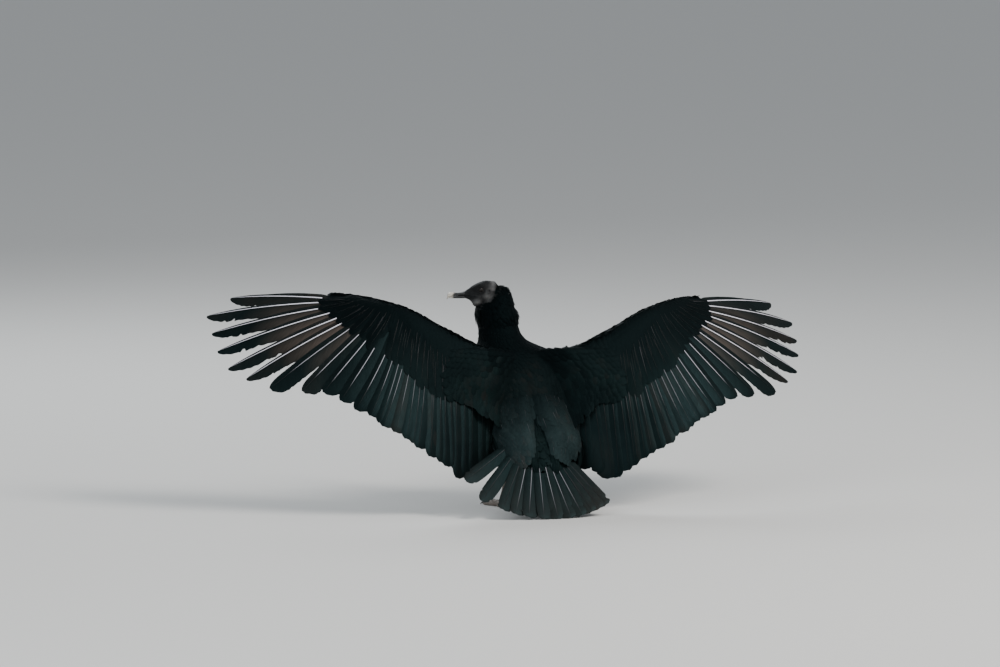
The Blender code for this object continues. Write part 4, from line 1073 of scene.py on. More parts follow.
# Degrees of each feather from straight down, of which the first two are spread away from the rest.
TAIL_FAN, SPREAD_AWAY = (-53.0, -40.0, -28.5, -21.5, -14.5, -6.5, 1.0, 8.0, 14.5, 20.5, 25.5, 30.0), 2


def on_tail(across, up, lift):
    """The tail's plane: across it, up towards its root, and lift behind it."""
    slope = np.array((0.0, -math.cos(TAIL_SLOPE), -math.sin(TAIL_SLOPE)))
    back = np.array((0.0, -math.sin(TAIL_SLOPE), math.cos(TAIL_SLOPE)))
    across, up = np.broadcast_arrays(across, up)
    points = (TAIL_PIVOT + across[..., None] * np.array((1.0, 0, 0)) - up[..., None] * slope
              + (lift + 0.10 * across**2 / TAIL_RADIUS[1])[..., None] * back)
    points = placed(points)
    points[..., 2] = np.maximum(points[..., 2], 0.0004)
    return points


store, ribs = Feathers(), Feathers()
for n, degrees in enumerate(TAIL_FAN):
    turn = math.radians(degrees)
    far = 0.96 if n == 0 else 1.03 if n == 1 else 1.0
    base = np.array((math.sin(turn), -math.cos(turn))) * TAIL_RADIUS[0]
    feather = base, 90.0 - degrees, 0.6 if degrees < 0 else -0.6, (TAIL_RADIUS[1] * far - TAIL_RADIUS[0])
    middle_place = (len(TAIL_FAN) - 1) / 2
    rank, left = middle_place - abs(n - middle_place), n < middle_place
    outer, inner = (0.012, 0.0145, 0.0150, 0.0145), (0.014, 0.019, 0.021, 0.020)
    if n < SPREAD_AWAY:
        outer, inner = (0.010, 0.0125, 0.0140, 0.0135), (0.014, 0.018, 0.020, 0.018)
    lead, trail = (inner, outer) if left else (outer, inner)
    rise = lambda u, v, r, rank=rank: -0.0030 + 0.0014 * rank - 0.0010 * r
    patch = (0.01 + n * 0.08, 0.01, 0.078, 0.97)
    notches = [(int(dice.integers(0, 2)), dice.uniform(0.80, 0.99), dice.uniform(0.15, 0.40), 0.012)
               for k in range(dice.integers(2, 5))]
    tone = dice.random() * 0.7 + 0.2
    laid_vane(store, on_tail, feather, lead, trail, 34, 9, rise, 0.07 * (-1 if left else 1), patch, tone,
              lambda r, c: 0.12 * np.clip(r - 0.4, 0, 1) + 0 * c, start=0.02, notches=notches,
              blunt=0.80 if n < SPREAD_AWAY else 0.93, slant=0.7, thick=0.0009, camber=0.0022)
    laid_shaft(ribs, on_tail, feather, 0.0010, lambda u, v, r, rise=rise: rise(u, v, r) + 0.0024, patch,
               lambda r, n=n: np.clip((1.0 - r) * 2.5, 0.08, 1) * (0.30 if 2 < n < 9 else 0.03), reach=0.99)
tail_vanes, tail_shafts = store.finish("tail_vanes", flight_paint), ribs.finish("tail_shafts", shaft_paint)
for piece in (tail_vanes, tail_shafts):
    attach(piece, "root")
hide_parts("tail")

# ------------------------------------------------------------------------------------------------------
# Coverts of the tail
# Rows of soft feathers over and under the roots of the tail feathers.
# ------------------------------------------------------------------------------------------------------
TAIL_COVERTS = (  # distance from the root, length, count
    (0.048, 0.062, 15), (0.030, 0.070, 13), (0.012, 0.070, 9))
store = Feathers()
for face in (1, -1):
    for row, (low, long, count) in enumerate(TAIL_COVERTS):
        for n in range(count):
            degrees = np.interp((n + 0.5) / count, (0, 1), (-46, 40)) + dice.normal(0, 1.5)
            turn = math.radians(degrees)
            base = np.array((math.sin(turn), -math.cos(turn))) * low + (dice.normal(0, 0.002), 0)
            feather = base, 90.0 - degrees * 0.8 + dice.normal(0, 3.0), 3.0, long * dice.uniform(0.88, 1.1)
            rise = lambda u, v, r, row=row, face=face: (
                0.0008 + face * (0.0042 + 0.0022 * row - 0.0030 * r
                                 + 0.004 * np.clip(1 - np.abs(u) / 0.03, 0, 1) * (face > 0)))
            patch = (0.01 + n * 0.06, 0.01 + row * 0.16 + (0.5 if face < 0 else 0), 0.055, 0.15)
            laid_vane(store, on_tail, feather, (0.006, 0.0105, 0.0095), (0.006, 0.0105, 0.0095), 12, 7, rise,
                      0.05 * math.copysign(1, degrees), patch, dice.random() * 0.8, 0.0, start=0.02,
                      blunt=0.70,
                      slant=0.6, camber=0.0016, thick=0.0006, notches=nick(0.7, 0.97, 0.05, 0.3, 0.04))
made = store.finish("tail_coverts", body_paint)
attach(made, "root")

# ------------------------------------------------------------------------------------------------------
# Long feathers of the back and shoulders
# Two rounded lobes of long feathers fall from the shoulders to the root of the tail, with a valley between
# them. A shawl of the same feathers runs from each lobe out over the root of the wing.
# ------------------------------------------------------------------------------------------------------
BACK_COAT = (  # share of the back, depth of the coat's back line, depth of its front, half width
    (-0.34, 0.014, 0.066, 0.056), (-0.22, 0.000, 0.078, 0.074), (-0.08, -0.009, 0.090, 0.090),
    (0.10, -0.014, 0.122, 0.102), (0.32, -0.010, 0.148, 0.102), (0.58, -0.006, 0.158, 0.099),
    (0.80, -0.003, 0.152, 0.096), (0.96, 0.008, 0.132, 0.083), (1.07, 0.022, 0.108, 0.064),
    (1.12, 0.040, 0.084, 0.036))
VALLEY = -0.006  # where the valley between the lobes runs
back_run = float(np.linalg.norm(BACK_HIGH - BACK_LOW))


def on_back(u, v, lift):
    """The coat of the back: u round to the bird's right from the middle, v up the back, lift outwards."""
    u, v = np.broadcast_arrays(np.asarray(u, float), np.asarray(v, float))
    share, angle = v / back_run, -np.pi / 2 + u / 0.096
    valley = np.interp(share, (-0.2, 0.1, 0.5, 0.75), (0.024, 0.017, 0.004, 0.0))
    deep = np.interp(share, (-0.2, 0.1, 0.5, 0.8), (0.018, 0.015, 0.007, 0.0))
    lobe = np.clip((np.abs(u - VALLEY) - valley * 0.4) / 0.030, 0, 1)
    return placed(trunk_at(share, angle, deep * (1 - lobe * (2 - lobe)) - lift, BACK_COAT))


def dappled(u, v, layer, seed):
    """A feather's tone, which drifts slowly over the back and a little from feather to feather."""
    drift = float(cloud(np.array([[u * 14, v * 9, layer]]), 1.0, seed)[0])
    return np.clip(0.45 + 0.35 * drift + dice.normal(0, 0.16), 0, 1)


def back_patch(u, v):
    """A small feather's place on the unwrap of the back."""
    return 0.5 + u * 3.0, 0.18 + v * 2.6, TUFT_PATCH, TUFT_PATCH


TUFT_PATCH = 0.003
SHAFT_SHOWS = 0.30  # share of the feathers whose shaft shows
BACK_STEP, BACK_ROW = 0.0150, 0.0135  # from feather to feather across the back, and from row to row
store, ribs = Feathers(), Feathers()
for row, v in enumerate(np.arange(0.262, -0.012, -BACK_ROW)):
    for n in range(-10, 11):
        u = (n + 0.5 * (row % 2)) * BACK_STEP + dice.normal(0, 0.0016)
        aside = abs(u - VALLEY)
        inner = np.interp(v, (-0.016, 0.008, 0.070, 0.170), (0.060, 0.026, 0.014, 0.0))
        lowest = np.interp(aside, (0.070, 0.110, 0.140), (-0.016, 0.000, 0.040))
        if aside > 0.150 or aside < inner - 0.0075 or v < lowest + dice.normal(0, 0.0025):
            continue
        if inner > 0.008 and aside < inner + 0.0075:  # the last of the row lies on the edge of the lobe
            u, aside = math.copysign(inner, u - VALLEY) + VALLEY, inner
        side_way = np.sign(u - VALLEY) if abs(u) > 0.004 else 0.0
        inward = -side_way * (0.055 - abs(u)) / 0.05 * np.interp(v, (-0.02, 0.12, 0.26), (13.0, 6.0, 0.0))
        long = (np.interp(v, (-0.01, 0.05, 0.15, 0.26), (0.044, 0.060, 0.056, 0.036))
                * dice.uniform(0.88, 1.12))
        feather = (u, v), 90.0 + inward + dice.normal(0, 2.5), 3.0 * dice.normal(0, 1) + 0.01, long
        rise = lambda a, b, r: -0.0012 + 0.0030 * r
        wide = np.interp(aside, (0.015, 0.045), (0.0075, 0.0105)) * dice.uniform(0.85, 1.12)
        tone = dappled(u, v, 1.3, 91)
        halves = (wide * 0.7, wide, wide)
        laid_vane(store, on_back, feather, halves, halves, 11, 7, rise, 0.012 * side_way,
                  back_patch(u, v), tone, 0.0, start=0.03, blunt=0.72, slant=0.55,
                  camber=0.0008, thick=0.0005, wave=0.02,
                  notches=nick(0.7, 0.98, 0.05, 0.4, 0.03))
        # The pale of a shown back shaft is a painted glint.
        if dice.random() < SHAFT_SHOWS:
            laid_shaft(ribs, on_back, feather, 0.0005, lambda a, b, r: rise(a, b, r) + 0.0006,
                       back_patch(u, v),
                       lambda r, k=dice.random(): 0.14 * k * k * np.clip((0.97 - r) * 4, 0, 1),
                       rows=7, reach=0.94, start=0.45)


def loose_feather(store, feather, rise, tone_share, blunt):
    """A narrow frayed feather of the back."""
    u, v = feather[0]
    laid_vane(store, on_back, feather, (0.003, 0.0058, 0.004), (0.003, 0.0058, 0.004), 11, 5, rise, 0.0,
              back_patch(u, v), dice.random() * tone_share, 0.0, start=0.03, blunt=blunt[0], slant=0.6,
              camber=blunt[1], thick=0.0005, notches=nick(0.6, 0.95, 0.1, 0.5, 0.04))


# The dark tuft in the valley between the lobes, and loose feathers of the flanks.
tuft, soft = Feathers(), Feathers()
for row, at_v in enumerate(np.arange(0.150, -0.050, -0.0110)):
    for n in range(-5, 6):
        u = VALLEY + (n + 0.5 * (row % 2)) * BACK_STEP / 2 + dice.normal(0, 0.0015)
        v = at_v + dice.normal(0, 0.0035)
        limit = np.interp(v, (-0.04, 0.00, 0.02, 0.10, 0.15), (0.044, 0.028, 0.018, 0.008, 0.002))
        if abs(u - VALLEY) > limit:
            continue
        long = np.interp(v, (-0.04, 0.02, 0.15), (0.050, 0.058, 0.046)) * dice.uniform(0.85, 1.15)
        feather = (u, v), 90.0 - n * 1.4 + dice.normal(0, 5.0), 3.0, long
        loose_feather(soft if 0.030 > v > -0.005 and abs(n) < 2 else tuft, feather,
                      lambda a, b, r: -0.0042 + 0.0046 * r, 0.35, (0.55, 0.0014))
for side, sign in SIDES:
    for n in range(46):
        u, v = sign * dice.uniform(0.112, 0.158), dice.uniform(-0.030, 0.110)
        long = dice.uniform(0.045, 0.075)
        feather = (u, v), 90.0 - sign * dice.uniform(4, 26), sign * 8.0, long
        loose_feather(tuft, feather, lambda a, b, r: -0.0010 + 0.0080 * r, 0.7, (0.50, 0.0012))
back_pieces = [tuft.finish("rump_feathers", body_paint), soft.finish("rump_tuft", lit_back_paint),
               store.finish("back_feathers", lit_back_paint), ribs.finish("back_shafts", shaft_paint)]

MANTLE_LONG = 0.170
MANTLE = (  # down from the nape, centre, half width, half depth
    (0.00, -0.050, 0.101, 0.404, 0.0400, 0.0380), (0.30, -0.043, 0.088, 0.365, 0.0530, 0.0480),
    (0.50, -0.027, 0.074, 0.340, 0.088, 0.0520), (0.70, -0.016, 0.064, 0.314, 0.108, 0.0550),
    (0.85, -0.008, 0.057, 0.290, 0.110, 0.0580), (1.00, -0.003, 0.051, 0.262, 0.107, 0.0640),
    (1.20, -0.002, 0.044, 0.226, 0.104, 0.0700))


def on_mantle(u, v, lift):
    """The smooth cape between the neck, the shoulders and the back: u across it, v down from the nape."""
    u, v = np.broadcast_arrays(np.asarray(u, float), np.asarray(v, float))
    cx, cy, cz, width, deep = np.moveaxis(eased(MANTLE, -v / MANTLE_LONG), -1, 0)
    angle = u / 0.100
    valley = bell(u - VALLEY, 0.012) * np.interp(-v / MANTLE_LONG, (0.7, 1.2), (0.0, 0.006))
    out_by = lift - valley
    return placed(np.stack((cx + np.sin(angle) * (width + out_by), cy - np.cos(angle) * (deep + out_by),
                            cz + 0.25 * out_by), -1))


store = Feathers()
for row, v in enumerate(np.arange(-0.008, -0.192, -0.0085)):
    for n in range(-16, 17):
        u = (n + 0.5 * (row % 2)) * 0.0098 + dice.normal(0, 0.0012)
        if abs(u) > np.interp(-v, (0.05, 0.075), (0.158, 0.110)):
            continue
        long = np.interp(-v, (0.0, 0.06, 0.15), (0.024, 0.030, 0.042)) * dice.uniform(0.86, 1.12)
        wide = 0.0078 * dice.uniform(0.88, 1.12)
        tone = dappled(u, v, 4.3, 92)
        halves = (wide * 0.7, wide, wide)
        laid_vane(store, on_mantle, ((u, v), 90.0 + dice.normal(0, 4.0), 2.0, long), halves, halves, 9, 5,
                  lambda a, b, r: -0.0010 + 0.0028 * r, 0.0,
                  (0.5 + u * 3.0, 0.98 + v * 4.5, TUFT_PATCH, TUFT_PATCH),
                  tone, 0.0, start=0.03, blunt=0.66, slant=0.55, camber=0.0007, thick=0.0005, wave=0.02,
                  notches=nick(0.7, 0.98, 0.05, 0.4, 0.05))
back_pieces.append(store.finish("mantle_feathers", dark_shaded_paint))

SHAWL_WIDE, SHAWL_LONG = 0.090, 0.150
SHAWL_BEGINS = {  # how far from the middle the shawl leaves the cape, from its top down
    1: (0.072, 0.058, 0.050, 0.055, 0.065, 0.080), -1: (0.000, 0.002, 0.010, 0.024, 0.042, 0.072)}
near_rows, far_rows = Feathers(), Feathers()
for side, sign in SIDES:
    def on_shawl(u, v, lift, sign=sign):
        """The cover of the wing's root: u out from the cape and lobe to the wing, v down the shoulder."""
        u, v = np.broadcast_arrays(np.asarray(u, float), np.asarray(v, float))
        over = np.clip(0.09 + v / SHAWL_LONG, 0, None) * 15.0  # the top row rolls over the shoulder
        s, t = u / SHAWL_WIDE, np.where(over > 0, 0.09 - np.sin(over) / 15.0, -v / SHAWL_LONG)
        within, beyond, past = 0.09 * np.minimum(s, 0), np.clip(s - 1, 0, 1), np.clip(s, 0, 1)
        begins = np.interp(t, (-0.2, 0.0, 0.15, 0.3, 0.5, 0.8), SHAWL_BEGINS[sign])
        high = on_mantle(sign * (begins + within), -MANTLE_LONG * (0.42 + 0.95 * t), 0.0)
        low = on_back(sign * (np.interp(t, (0.7, 1.2), (0.084, 0.092)) + within),
                      back_run * (1.02 - 0.78 * t), 0.0)
        blend = np.clip((t - 0.65) / 0.30, 0, 1)[..., None]
        inner = (high * (1 - blend) + low * blend - ORIGIN) / SIZE
        reach_u = np.interp(t, (-0.2, 0, 0.5, 1.2), (0.085, 0.094, 0.122, 0.110)) + beyond * 0.090
        down = 0.003 - 0.135 * t
        height = np.interp(t, (0.0, 0.8, 1.05), (0.0078, 0.0068, 0.0046)) - 0.0046 * beyond
        outer = wing_at(sign, reach_u, down, height + 1.02 * arm_depth(reach_u, down))
        ease = past[..., None]
        surface = inner * (1 - ease) + outer * ease
        surface[..., 1] += 0.010 * (1 - np.cos(over))
        crown = (lift + 0.0018 * np.clip(s * 4 + 0.6, 0, 1) * np.clip(2 - 2 * s, 0, 1)
                 + 0.007 * np.sin(np.pi * past) * (1 - 0.4 * t))
        return placed(surface + np.array((0.0, -1.0, 0.25)) * crown[..., None])

    for row, v in enumerate(np.arange(0.003, -0.104, -0.0105)):
        for n in range(12):
            u = (n + 0.5 * (row % 2)) * 0.0115 - 0.010 + dice.normal(0, 0.0013)
            long = (np.interp(row, (0, 5, 10), (0.028, 0.046, 0.056))
                    * np.interp(u, (0.05, 0.12), (1.0, 0.75))
                    * dice.uniform(0.86, 1.12))
            wide = 0.0088 * dice.uniform(0.88, 1.12)
            near = u / SHAWL_WIDE + dice.normal(0, 0.14) < 0.42 - 0.03 * row
            feather = (u, v), 90.0 - 150.0 * u + dice.normal(0, 3.0), 2.0, long
            halves = (wide * 0.7, wide, wide)
            patch = (0.06 + u * 3.4 + (0.5 if sign > 0 else 0), 0.7 + v * 4, TUFT_PATCH, TUFT_PATCH)
            laid_vane(near_rows if near else far_rows, on_shawl, feather, halves, halves, 9, 5,
                      lambda a, b, r: -0.0010 + 0.0020 * r, 0.0, patch, dice.random() * 0.8, 0.0, start=0.03,
                      blunt=0.70, slant=0.55, camber=0.0008, thick=0.0005,
                      notches=nick(0.7, 0.98, 0.05, 0.4, 0.04))
back_pieces.append(far_rows.finish("shoulder_feathers", body_paint))
back_pieces.append(near_rows.finish("shoulder_inner_feathers", dark_shaded_paint))
for piece in back_pieces:
    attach(piece, "root")

# ------------------------------------------------------------------------------------------------------
# Body plumage
# Small soft feathers that lap like tiles from the nape to the tail. They are set on the skin by the lie of
# the coat: short and hair-like on the hood, longer on the neck and back, loose on the belly and thighs.
# ------------------------------------------------------------------------------------------------------
PLUME_ARCH, PLUME_CURL, PLUME_LONG = 0.055, -0.09, 0.022


def plume(name, seed, ragged):
    """One small feather, a unit long, as a thin closed vane with a frayed end."""
    rng = np.random.default_rng(seed)
    along, across = np.array((0.0, 0.22, 0.45, 0.66, 0.84, 1.0)), np.array((-1.0, -0.5, 0.0, 0.5, 1.0))
    half = np.array((0.10, 0.33, 0.48, 0.50, 0.42, 0.20)) * (1 + rng.normal(0, 0.05, 6))
    y = along[:, None] + np.abs(across) * 0.10 * (along[:, None] > 0.1)
    y[-1] += rng.uniform(-ragged, ragged * 0.6, 5) * (1, 1, 0.4, 1, 1)
    x = half[:, None] * across * (1 + rng.uniform(-ragged, ragged, (6, 5)) * 0.4)
    z = (PLUME_ARCH * (1 - np.abs(across) ** 1.7) * (half[:, None] * 2)
         + PLUME_CURL * (along[:, None] - 0.35) ** 2)
    points = np.stack((x, y, z), -1).reshape(-1, 3)
    at = np.arange(30).reshape(6, 5)
    faces = [tuple(f)
             for f in np.stack((at[:-1, :-1], at[:-1, 1:], at[1:, 1:], at[1:, :-1]), -1).reshape(-1, 4)]
    faces += [(at[k, 0], at[k + 1, 0], at[k + 1, 4], at[k, 4]) for k in range(1, 4)]
    faces += [(*at[0, ::-1], at[1, 0], at[1, 4]), (at[4, 4], at[4, 0], *at[5])]
    mesh = bpy.data.meshes.new(name)
    mesh.from_pydata([tuple(p) for p in points], [], faces)
    corner = np.empty(len(mesh.loops), dtype=np.int32)
    mesh.loops.foreach_get("vertex_index", corner)
    for label, value in (("Vane", points[:, :2] * PLUME_LONG), ("OFBake", points[:, :2] + (0.5, 0.0))):
        mesh.uv_layers.new(name=label).data.foreach_set("uv", value[corner].astype(np.float32).ravel())
    mesh.shade_smooth()
    rim = {int(v) for v in (*at[0], *at[-1], *at[:, 0], *at[:, -1])}
    for edge in mesh.edges:
        edge.use_edge_sharp = edge.vertices[0] in rim and edge.vertices[1] in rim
    return linked(name, mesh)


plumes = [plume(f"plume_{n}", 50 + n, ragged) for n, ragged in enumerate((0.06, 0.10, 0.14, 0.08))]

coat_tree = bpy.data.node_groups.new("coat", "GeometryNodeTree")
coat_tree.interface.new_socket("Roots", in_out="INPUT", socket_type="NodeSocketGeometry")
coat_inputs = {}
for label, kind, value in (*((f"Plume {n}", "NodeSocketObject", None) for n in range(len(plumes))),
                           ("Seed", "NodeSocketInt", 1), ("Patch", FLOAT, TUFT_PATCH),
                           ("Finish", "NodeSocketMaterial", None)):
    socket = coat_tree.interface.new_socket(label, in_out="INPUT", socket_type=kind)
    if value is not None:
        socket.default_value = value
    coat_inputs[label] = socket.identifier
coat_tree.interface.new_socket("Coat", in_out="OUTPUT", socket_type="NodeSocketGeometry")
given, out = coat_tree.nodes.new("NodeGroupInput").outputs, coat_tree.nodes.new("NodeGroupOutput").inputs


def named(name, kind="FLOAT_VECTOR"):
    return wire(coat_tree, "GeometryNodeInputNamedAttribute", {"Name": name}, data_type=kind).outputs[0]


kinds = wire(coat_tree, "GeometryNodeJoinGeometry")
for n in range(len(plumes)):
    info = wire(coat_tree, "GeometryNodeObjectInfo", {"Object": given[f"Plume {n}"], "As Instance": True})
    coat_tree.links.new(info.outputs["Geometry"], kinds.inputs[0])
chosen = wire(coat_tree, "FunctionNodeRandomValue", {"Seed": given["Seed"]}, data_type="INT")
for socket in chosen.inputs:
    if socket.name == "Max" and socket.type == "INT":
        socket.default_value = len(plumes) - 1
aim = wire(coat_tree, "FunctionNodeAxesToRotation",
           {"Primary Axis": named("out"), "Secondary Axis": named("lie")},
           primary_axis="Z", secondary_axis="Y")
planted = wire(coat_tree, "GeometryNodeInstanceOnPoints", {
    "Points": given["Roots"], "Instance": kinds.outputs[0], "Pick Instance": True, "Rotation": aim.outputs[0],
    "Scale": named("grow")})
coat_tree.links.new([s for s in chosen.outputs if s.type == "INT"][0], planted.inputs["Instance Index"])
real = wire(coat_tree, "GeometryNodeRealizeInstances", {"Geometry": planted.outputs[0]})
spot = wire(coat_tree, "ShaderNodeVectorMath", {0: named("OFBake"), 1: given["Patch"], 2: named("root")},
            operation="MULTIPLY_ADD")
stored = wire(coat_tree, "GeometryNodeStoreNamedAttribute", {"Geometry": real.outputs[0], "Name": "OFBake",
                                                             "Value": spot.outputs[0]},
              data_type="FLOAT2", domain="CORNER")
finished = wire(coat_tree, "GeometryNodeSetMaterial",
                {"Geometry": stored.outputs[0], "Material": given["Finish"]})
coat_tree.links.new(finished.outputs[0], out["Coat"])


def planted_coat(name, roots, out_way, lie, grow, root_uv, tone, finish, seed):
    """Plants a plume at each root. out_way and lie are its axes, and grow its width, length and depth."""
    mesh = bpy.data.meshes.new(name)
    mesh.vertices.add(len(roots))
    mesh.vertices.foreach_set("co", np.asarray(roots, np.float32).ravel())
    root_uv = np.c_[root_uv, np.zeros(len(roots))]
    for label, value in (("out", out_way), ("lie", lie), ("grow", grow), ("root", root_uv)):
        ways = mesh.attributes.new(label, "FLOAT_VECTOR", "POINT")
        ways.data.foreach_set("vector", np.asarray(value, np.float32).ravel())
    for label, value in (("tone", tone), ("pale", 0.0 * tone)):
        marked(mesh, label, value)
    made = linked(name, mesh)
    grown = made.modifiers.new("coat", "NODES")
    grown.node_group = coat_tree
    for n, feather in enumerate(plumes):
        grown[coat_inputs[f"Plume {n}"]] = feather
    grown[coat_inputs["Seed"]] = seed
    grown[coat_inputs["Finish"]] = finish
    evaluated(made)
    for label in ("out", "lie", "grow", "root"):
        if label in made.data.attributes:
            made.data.attributes.remove(made.data.attributes[label])
    made.data.shade_smooth()
    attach(made, "root")
    return made


# Roots are scattered evenly over the skin, closer where the feathers are small.
skin.data.calc_loop_triangles()
corners = np.empty(len(skin.data.loop_triangles) * 3, np.int32)
skin.data.loop_triangles.foreach_get("vertices", corners)
corners = corners.reshape(-1, 3)
area = np.linalg.norm(np.cross(skin_co[corners[:, 1]] - skin_co[corners[:, 0]],
                               skin_co[corners[:, 2]] - skin_co[corners[:, 0]]), axis=1)
pick = dice.choice(len(corners), 90000, p=area / area.sum())
weight = dice.dirichlet((1, 1, 1), len(pick))
spots = np.einsum("nk,nkj->nj", weight, skin_co[corners[pick]])
normals = unit(np.einsum("nk,nkj->nj", weight, skin_normal[corners[pick]]))
at = (spots - ORIGIN) / SIZE
on = (at - np.array(HEAD_AT)) @ turned
hood = np.interp(on[:, 2], hood_h, hood_a)
bald = (at[:, 2] > 0.425) & (on[:, 0] > hood + 0.0015 * cloud(spots, 0.006, 31)) & (on[:, 2] > -0.038)
x, y, z = at.T
arm = (np.abs(x) > 0.088) & (z > 0.245) & ~((z > 0.396) & (np.abs(x + 0.060) < 0.065))
under_back = (y < (z - 0.25) * 0.75 - 0.030) & (z > 0.125) & (z < 0.315) & (np.abs(x) < 0.085)
under_mantle = ((y < np.interp(z, (0.25, 0.31, 0.34, 0.38), (0.02, 0.045, 0.065, 0.085)))
                & (z > 0.25) & (z < 0.384))
feathered = (z > 0.098) | ((z > 0.060) & (shank_gap(at) > 0.018))
keep = ~bald & ~arm & ~under_back & ~under_mantle & feathered
spots, normals, at, on = spots[keep], normals[keep], at[keep], on[keep]
smooth = np.zeros_like(normals)
for cell_size in (0.010, 0.013, 0.016):
    for shift in (0.0, 0.37, 0.71):
        cell = np.floor(at / cell_size + shift).astype(np.int64)
        where_in = np.unique(cell, axis=0, return_inverse=True)[1].ravel()
        total = np.zeros((where_in.max() + 1, 3))
        np.add.at(total, where_in, normals)
        smooth += unit(total)[where_in]
normals = unit(smooth)

# The lie of the coat: back from the head, down the neck and along the trunk to the tail.
lane = np.array([tuple(HEAD_AT + Vector(on_head.to_3x3() @ Vector((0.03, 0, 0)))), tuple(HEAD_AT),
                 (-0.050, 0.098, 0.462), (-0.046, 0.084, 0.425), (-0.040, 0.070, 0.380),
                 (-0.022, 0.045, 0.330),
                 (-0.005, 0.010, 0.280), (0.0, -0.040, 0.215), (0.0, -0.100, 0.140), (0.0, -0.150, 0.085)])
centres, ways = (lane[1:] + lane[:-1]) / 2, unit(lane[1:] - lane[:-1])
gap = np.linalg.norm(at[:, None] - centres[None], axis=2)
share = np.exp(-(gap - gap.min(1, keepdims=True)) / 0.02)
lie = np.einsum("nk,kj->nj", share / share.sum(1, keepdims=True), ways)
x, y, z = at.T
leg = (np.abs(x) > 0.025) & (z < 0.19) & (y > -0.035)
legwise = np.clip((0.20 - z) / 0.05, 0, 1) * leg
lie = unit(lie + legwise[:, None] * np.array((0.0, -0.2, -1.6)))
lie = unit(lie - normals * np.einsum("ij,ij->i", lie, normals)[:, None])
lie = unit(lie + np.cross(normals, lie) * dice.normal(0, 0.16, len(lie))[:, None])

size = np.interp(z, (0.095, 0.13, 0.33, 0.37, 0.42, 0.445, 0.47),
                 (0.0062, 0.0080, 0.0085, 0.0060, 0.0046, 0.0036, 0.0026))
size = np.where(leg, np.minimum(size, 0.0066), size)
CELL = 0.009  # as wide as the widest gap between two roots
neighbours = np.stack(np.meshgrid((-1, 0, 1), (-1, 0, 1), (-1, 0, 1), indexing="ij"), -1).reshape(-1, 3)
taken, chosen_roots = {}, []
for k, cell in enumerate(np.floor(at / CELL).astype(int)):
    near = [other for place in cell + neighbours for other in taken.get(tuple(place), ())]
    gaps = at[near] - at[k]
    if not (np.einsum("ij,ij->i", gaps, gaps) < size[k] ** 2 * 0.81).any():
        taken.setdefault(tuple(cell), []).append(k)
        chosen_roots.append(k)
spots, normals, at, on, lie, size, leg = (v[chosen_roots] for v in (spots, normals, at, on, lie, size, leg))
x, y, z = at.T
# On the shelf of the breast and on top of the thighs the plumes stand off, where they bridge a hollow.
bridge = bell(z - 0.322, 0.022) * (y > 0.08) + bell(z - 0.178, 0.015) * (np.abs(x) > 0.030) * (y > 0.02)
stand = np.interp(z, (0.10, 0.35, 0.37, 0.41, 0.44, 0.455), (0.08, 0.07, 0.05, 0.05, 0.07, 0.12))
tilt = 0.12 * bridge + np.where(leg, 0.07, stand) + dice.normal(0, 0.022, len(at))
out_tilt = unit(normals - lie * np.sin(tilt)[:, None])
long = size * np.interp(z, (0.10, 0.30, 0.42, 0.46), (4.0, 3.8, 3.9, 3.6)) * dice.uniform(0.85, 1.2, len(at))
wide = size * np.interp(z, (0.30, 0.42, 0.47), (2.3, 2.0, 1.5)) * dice.uniform(0.85, 1.15, len(at))
tone = np.clip(0.45 + 0.45 * cloud(spots, 0.05, 61) + dice.normal(0, 0.22, len(at)), 0, 1)
spine = np.clip((z - 0.08) / 0.41, 0, 1)
turn_at = (np.arctan2(y - np.interp(z, (0.1, 0.35, 0.48), (-0.05, 0.06, 0.10)),
                      x - np.interp(z, (0.3, 0.42, 0.48), (0.0, -0.051, -0.042))) / (2 * np.pi)) % 1.0
root_uv = np.c_[0.01 + 0.96 * turn_at, 0.01 + 0.96 * spine]
grow = np.c_[wide, long, long * 0.8]
ROOT_DEPTH = 0.0006  # how far a root sits in the skin
# The nape is puffed up behind the head.
nape = np.clip((-0.008 - on[:, 0]) / 0.014, 0, 1)
swell = np.interp(z, (0.385, 0.412, 0.422, 0.434, 0.452, 0.462, 0.480),
                  (0.0016, 0.0018, 0.0030, 0.0052, 0.0048, 0.0040, 0.003))
puff = ((nape * swell + (1 - nape) * 0.0034 * bell(z - 0.452, 0.013))
        * np.clip((hood[keep][chosen_roots] - on[:, 0]) / 0.010, 0, 1))
roots = spots + normals * (puff * (z > 0.385) + 0.0030 * bridge - ROOT_DEPTH)[:, None]
neck_part = z > 0.365
thigh_part = leg & ~neck_part & (z < 0.165)
back_part = ~neck_part & ~thigh_part & (y < (z - 0.25) * 0.62 - 0.005)
front_part = ~neck_part & ~thigh_part & ~back_part
for name, part, finish in (("plumage_neck", neck_part, dark_shaded_paint), ("plumage_back", back_part, body_paint),
                           ("plumage_front", front_part, body_paint),
                           ("plumage_thighs", thigh_part, body_paint)):
    planted_coat(name, roots[part], out_tilt[part], lie[part], grow[part], root_uv[part],
                 tone[part], finish, 7)

# ------------------------------------------------------------------------------------------------------
# Small coverts of the arm
# Short round feathers in close rows that wrap the leading edge of each wing, above and below.
# ------------------------------------------------------------------------------------------------------
def arm_oval(u):
    """Leading edge, rear edge and half thickness of the arm under its small coverts."""
    return (edge_v(u) - 0.0015, np.minimum(bone_v(u), edge_v(u) - 0.008) - 0.022,
            np.interp(u, (0.0, 0.14, 0.26, 0.40), (0.022, 0.016, 0.011, 0.006)) / 2)


def arm_skin(sign, u, turn):
    """The arm's surface: u out from the shoulder, turn round the section from the leading edge."""
    front, rear, thick = arm_oval(u)
    return wing_at(sign, u, (front + rear) / 2 + (front - rear) / 2 * np.cos(turn), thick * np.sin(turn))


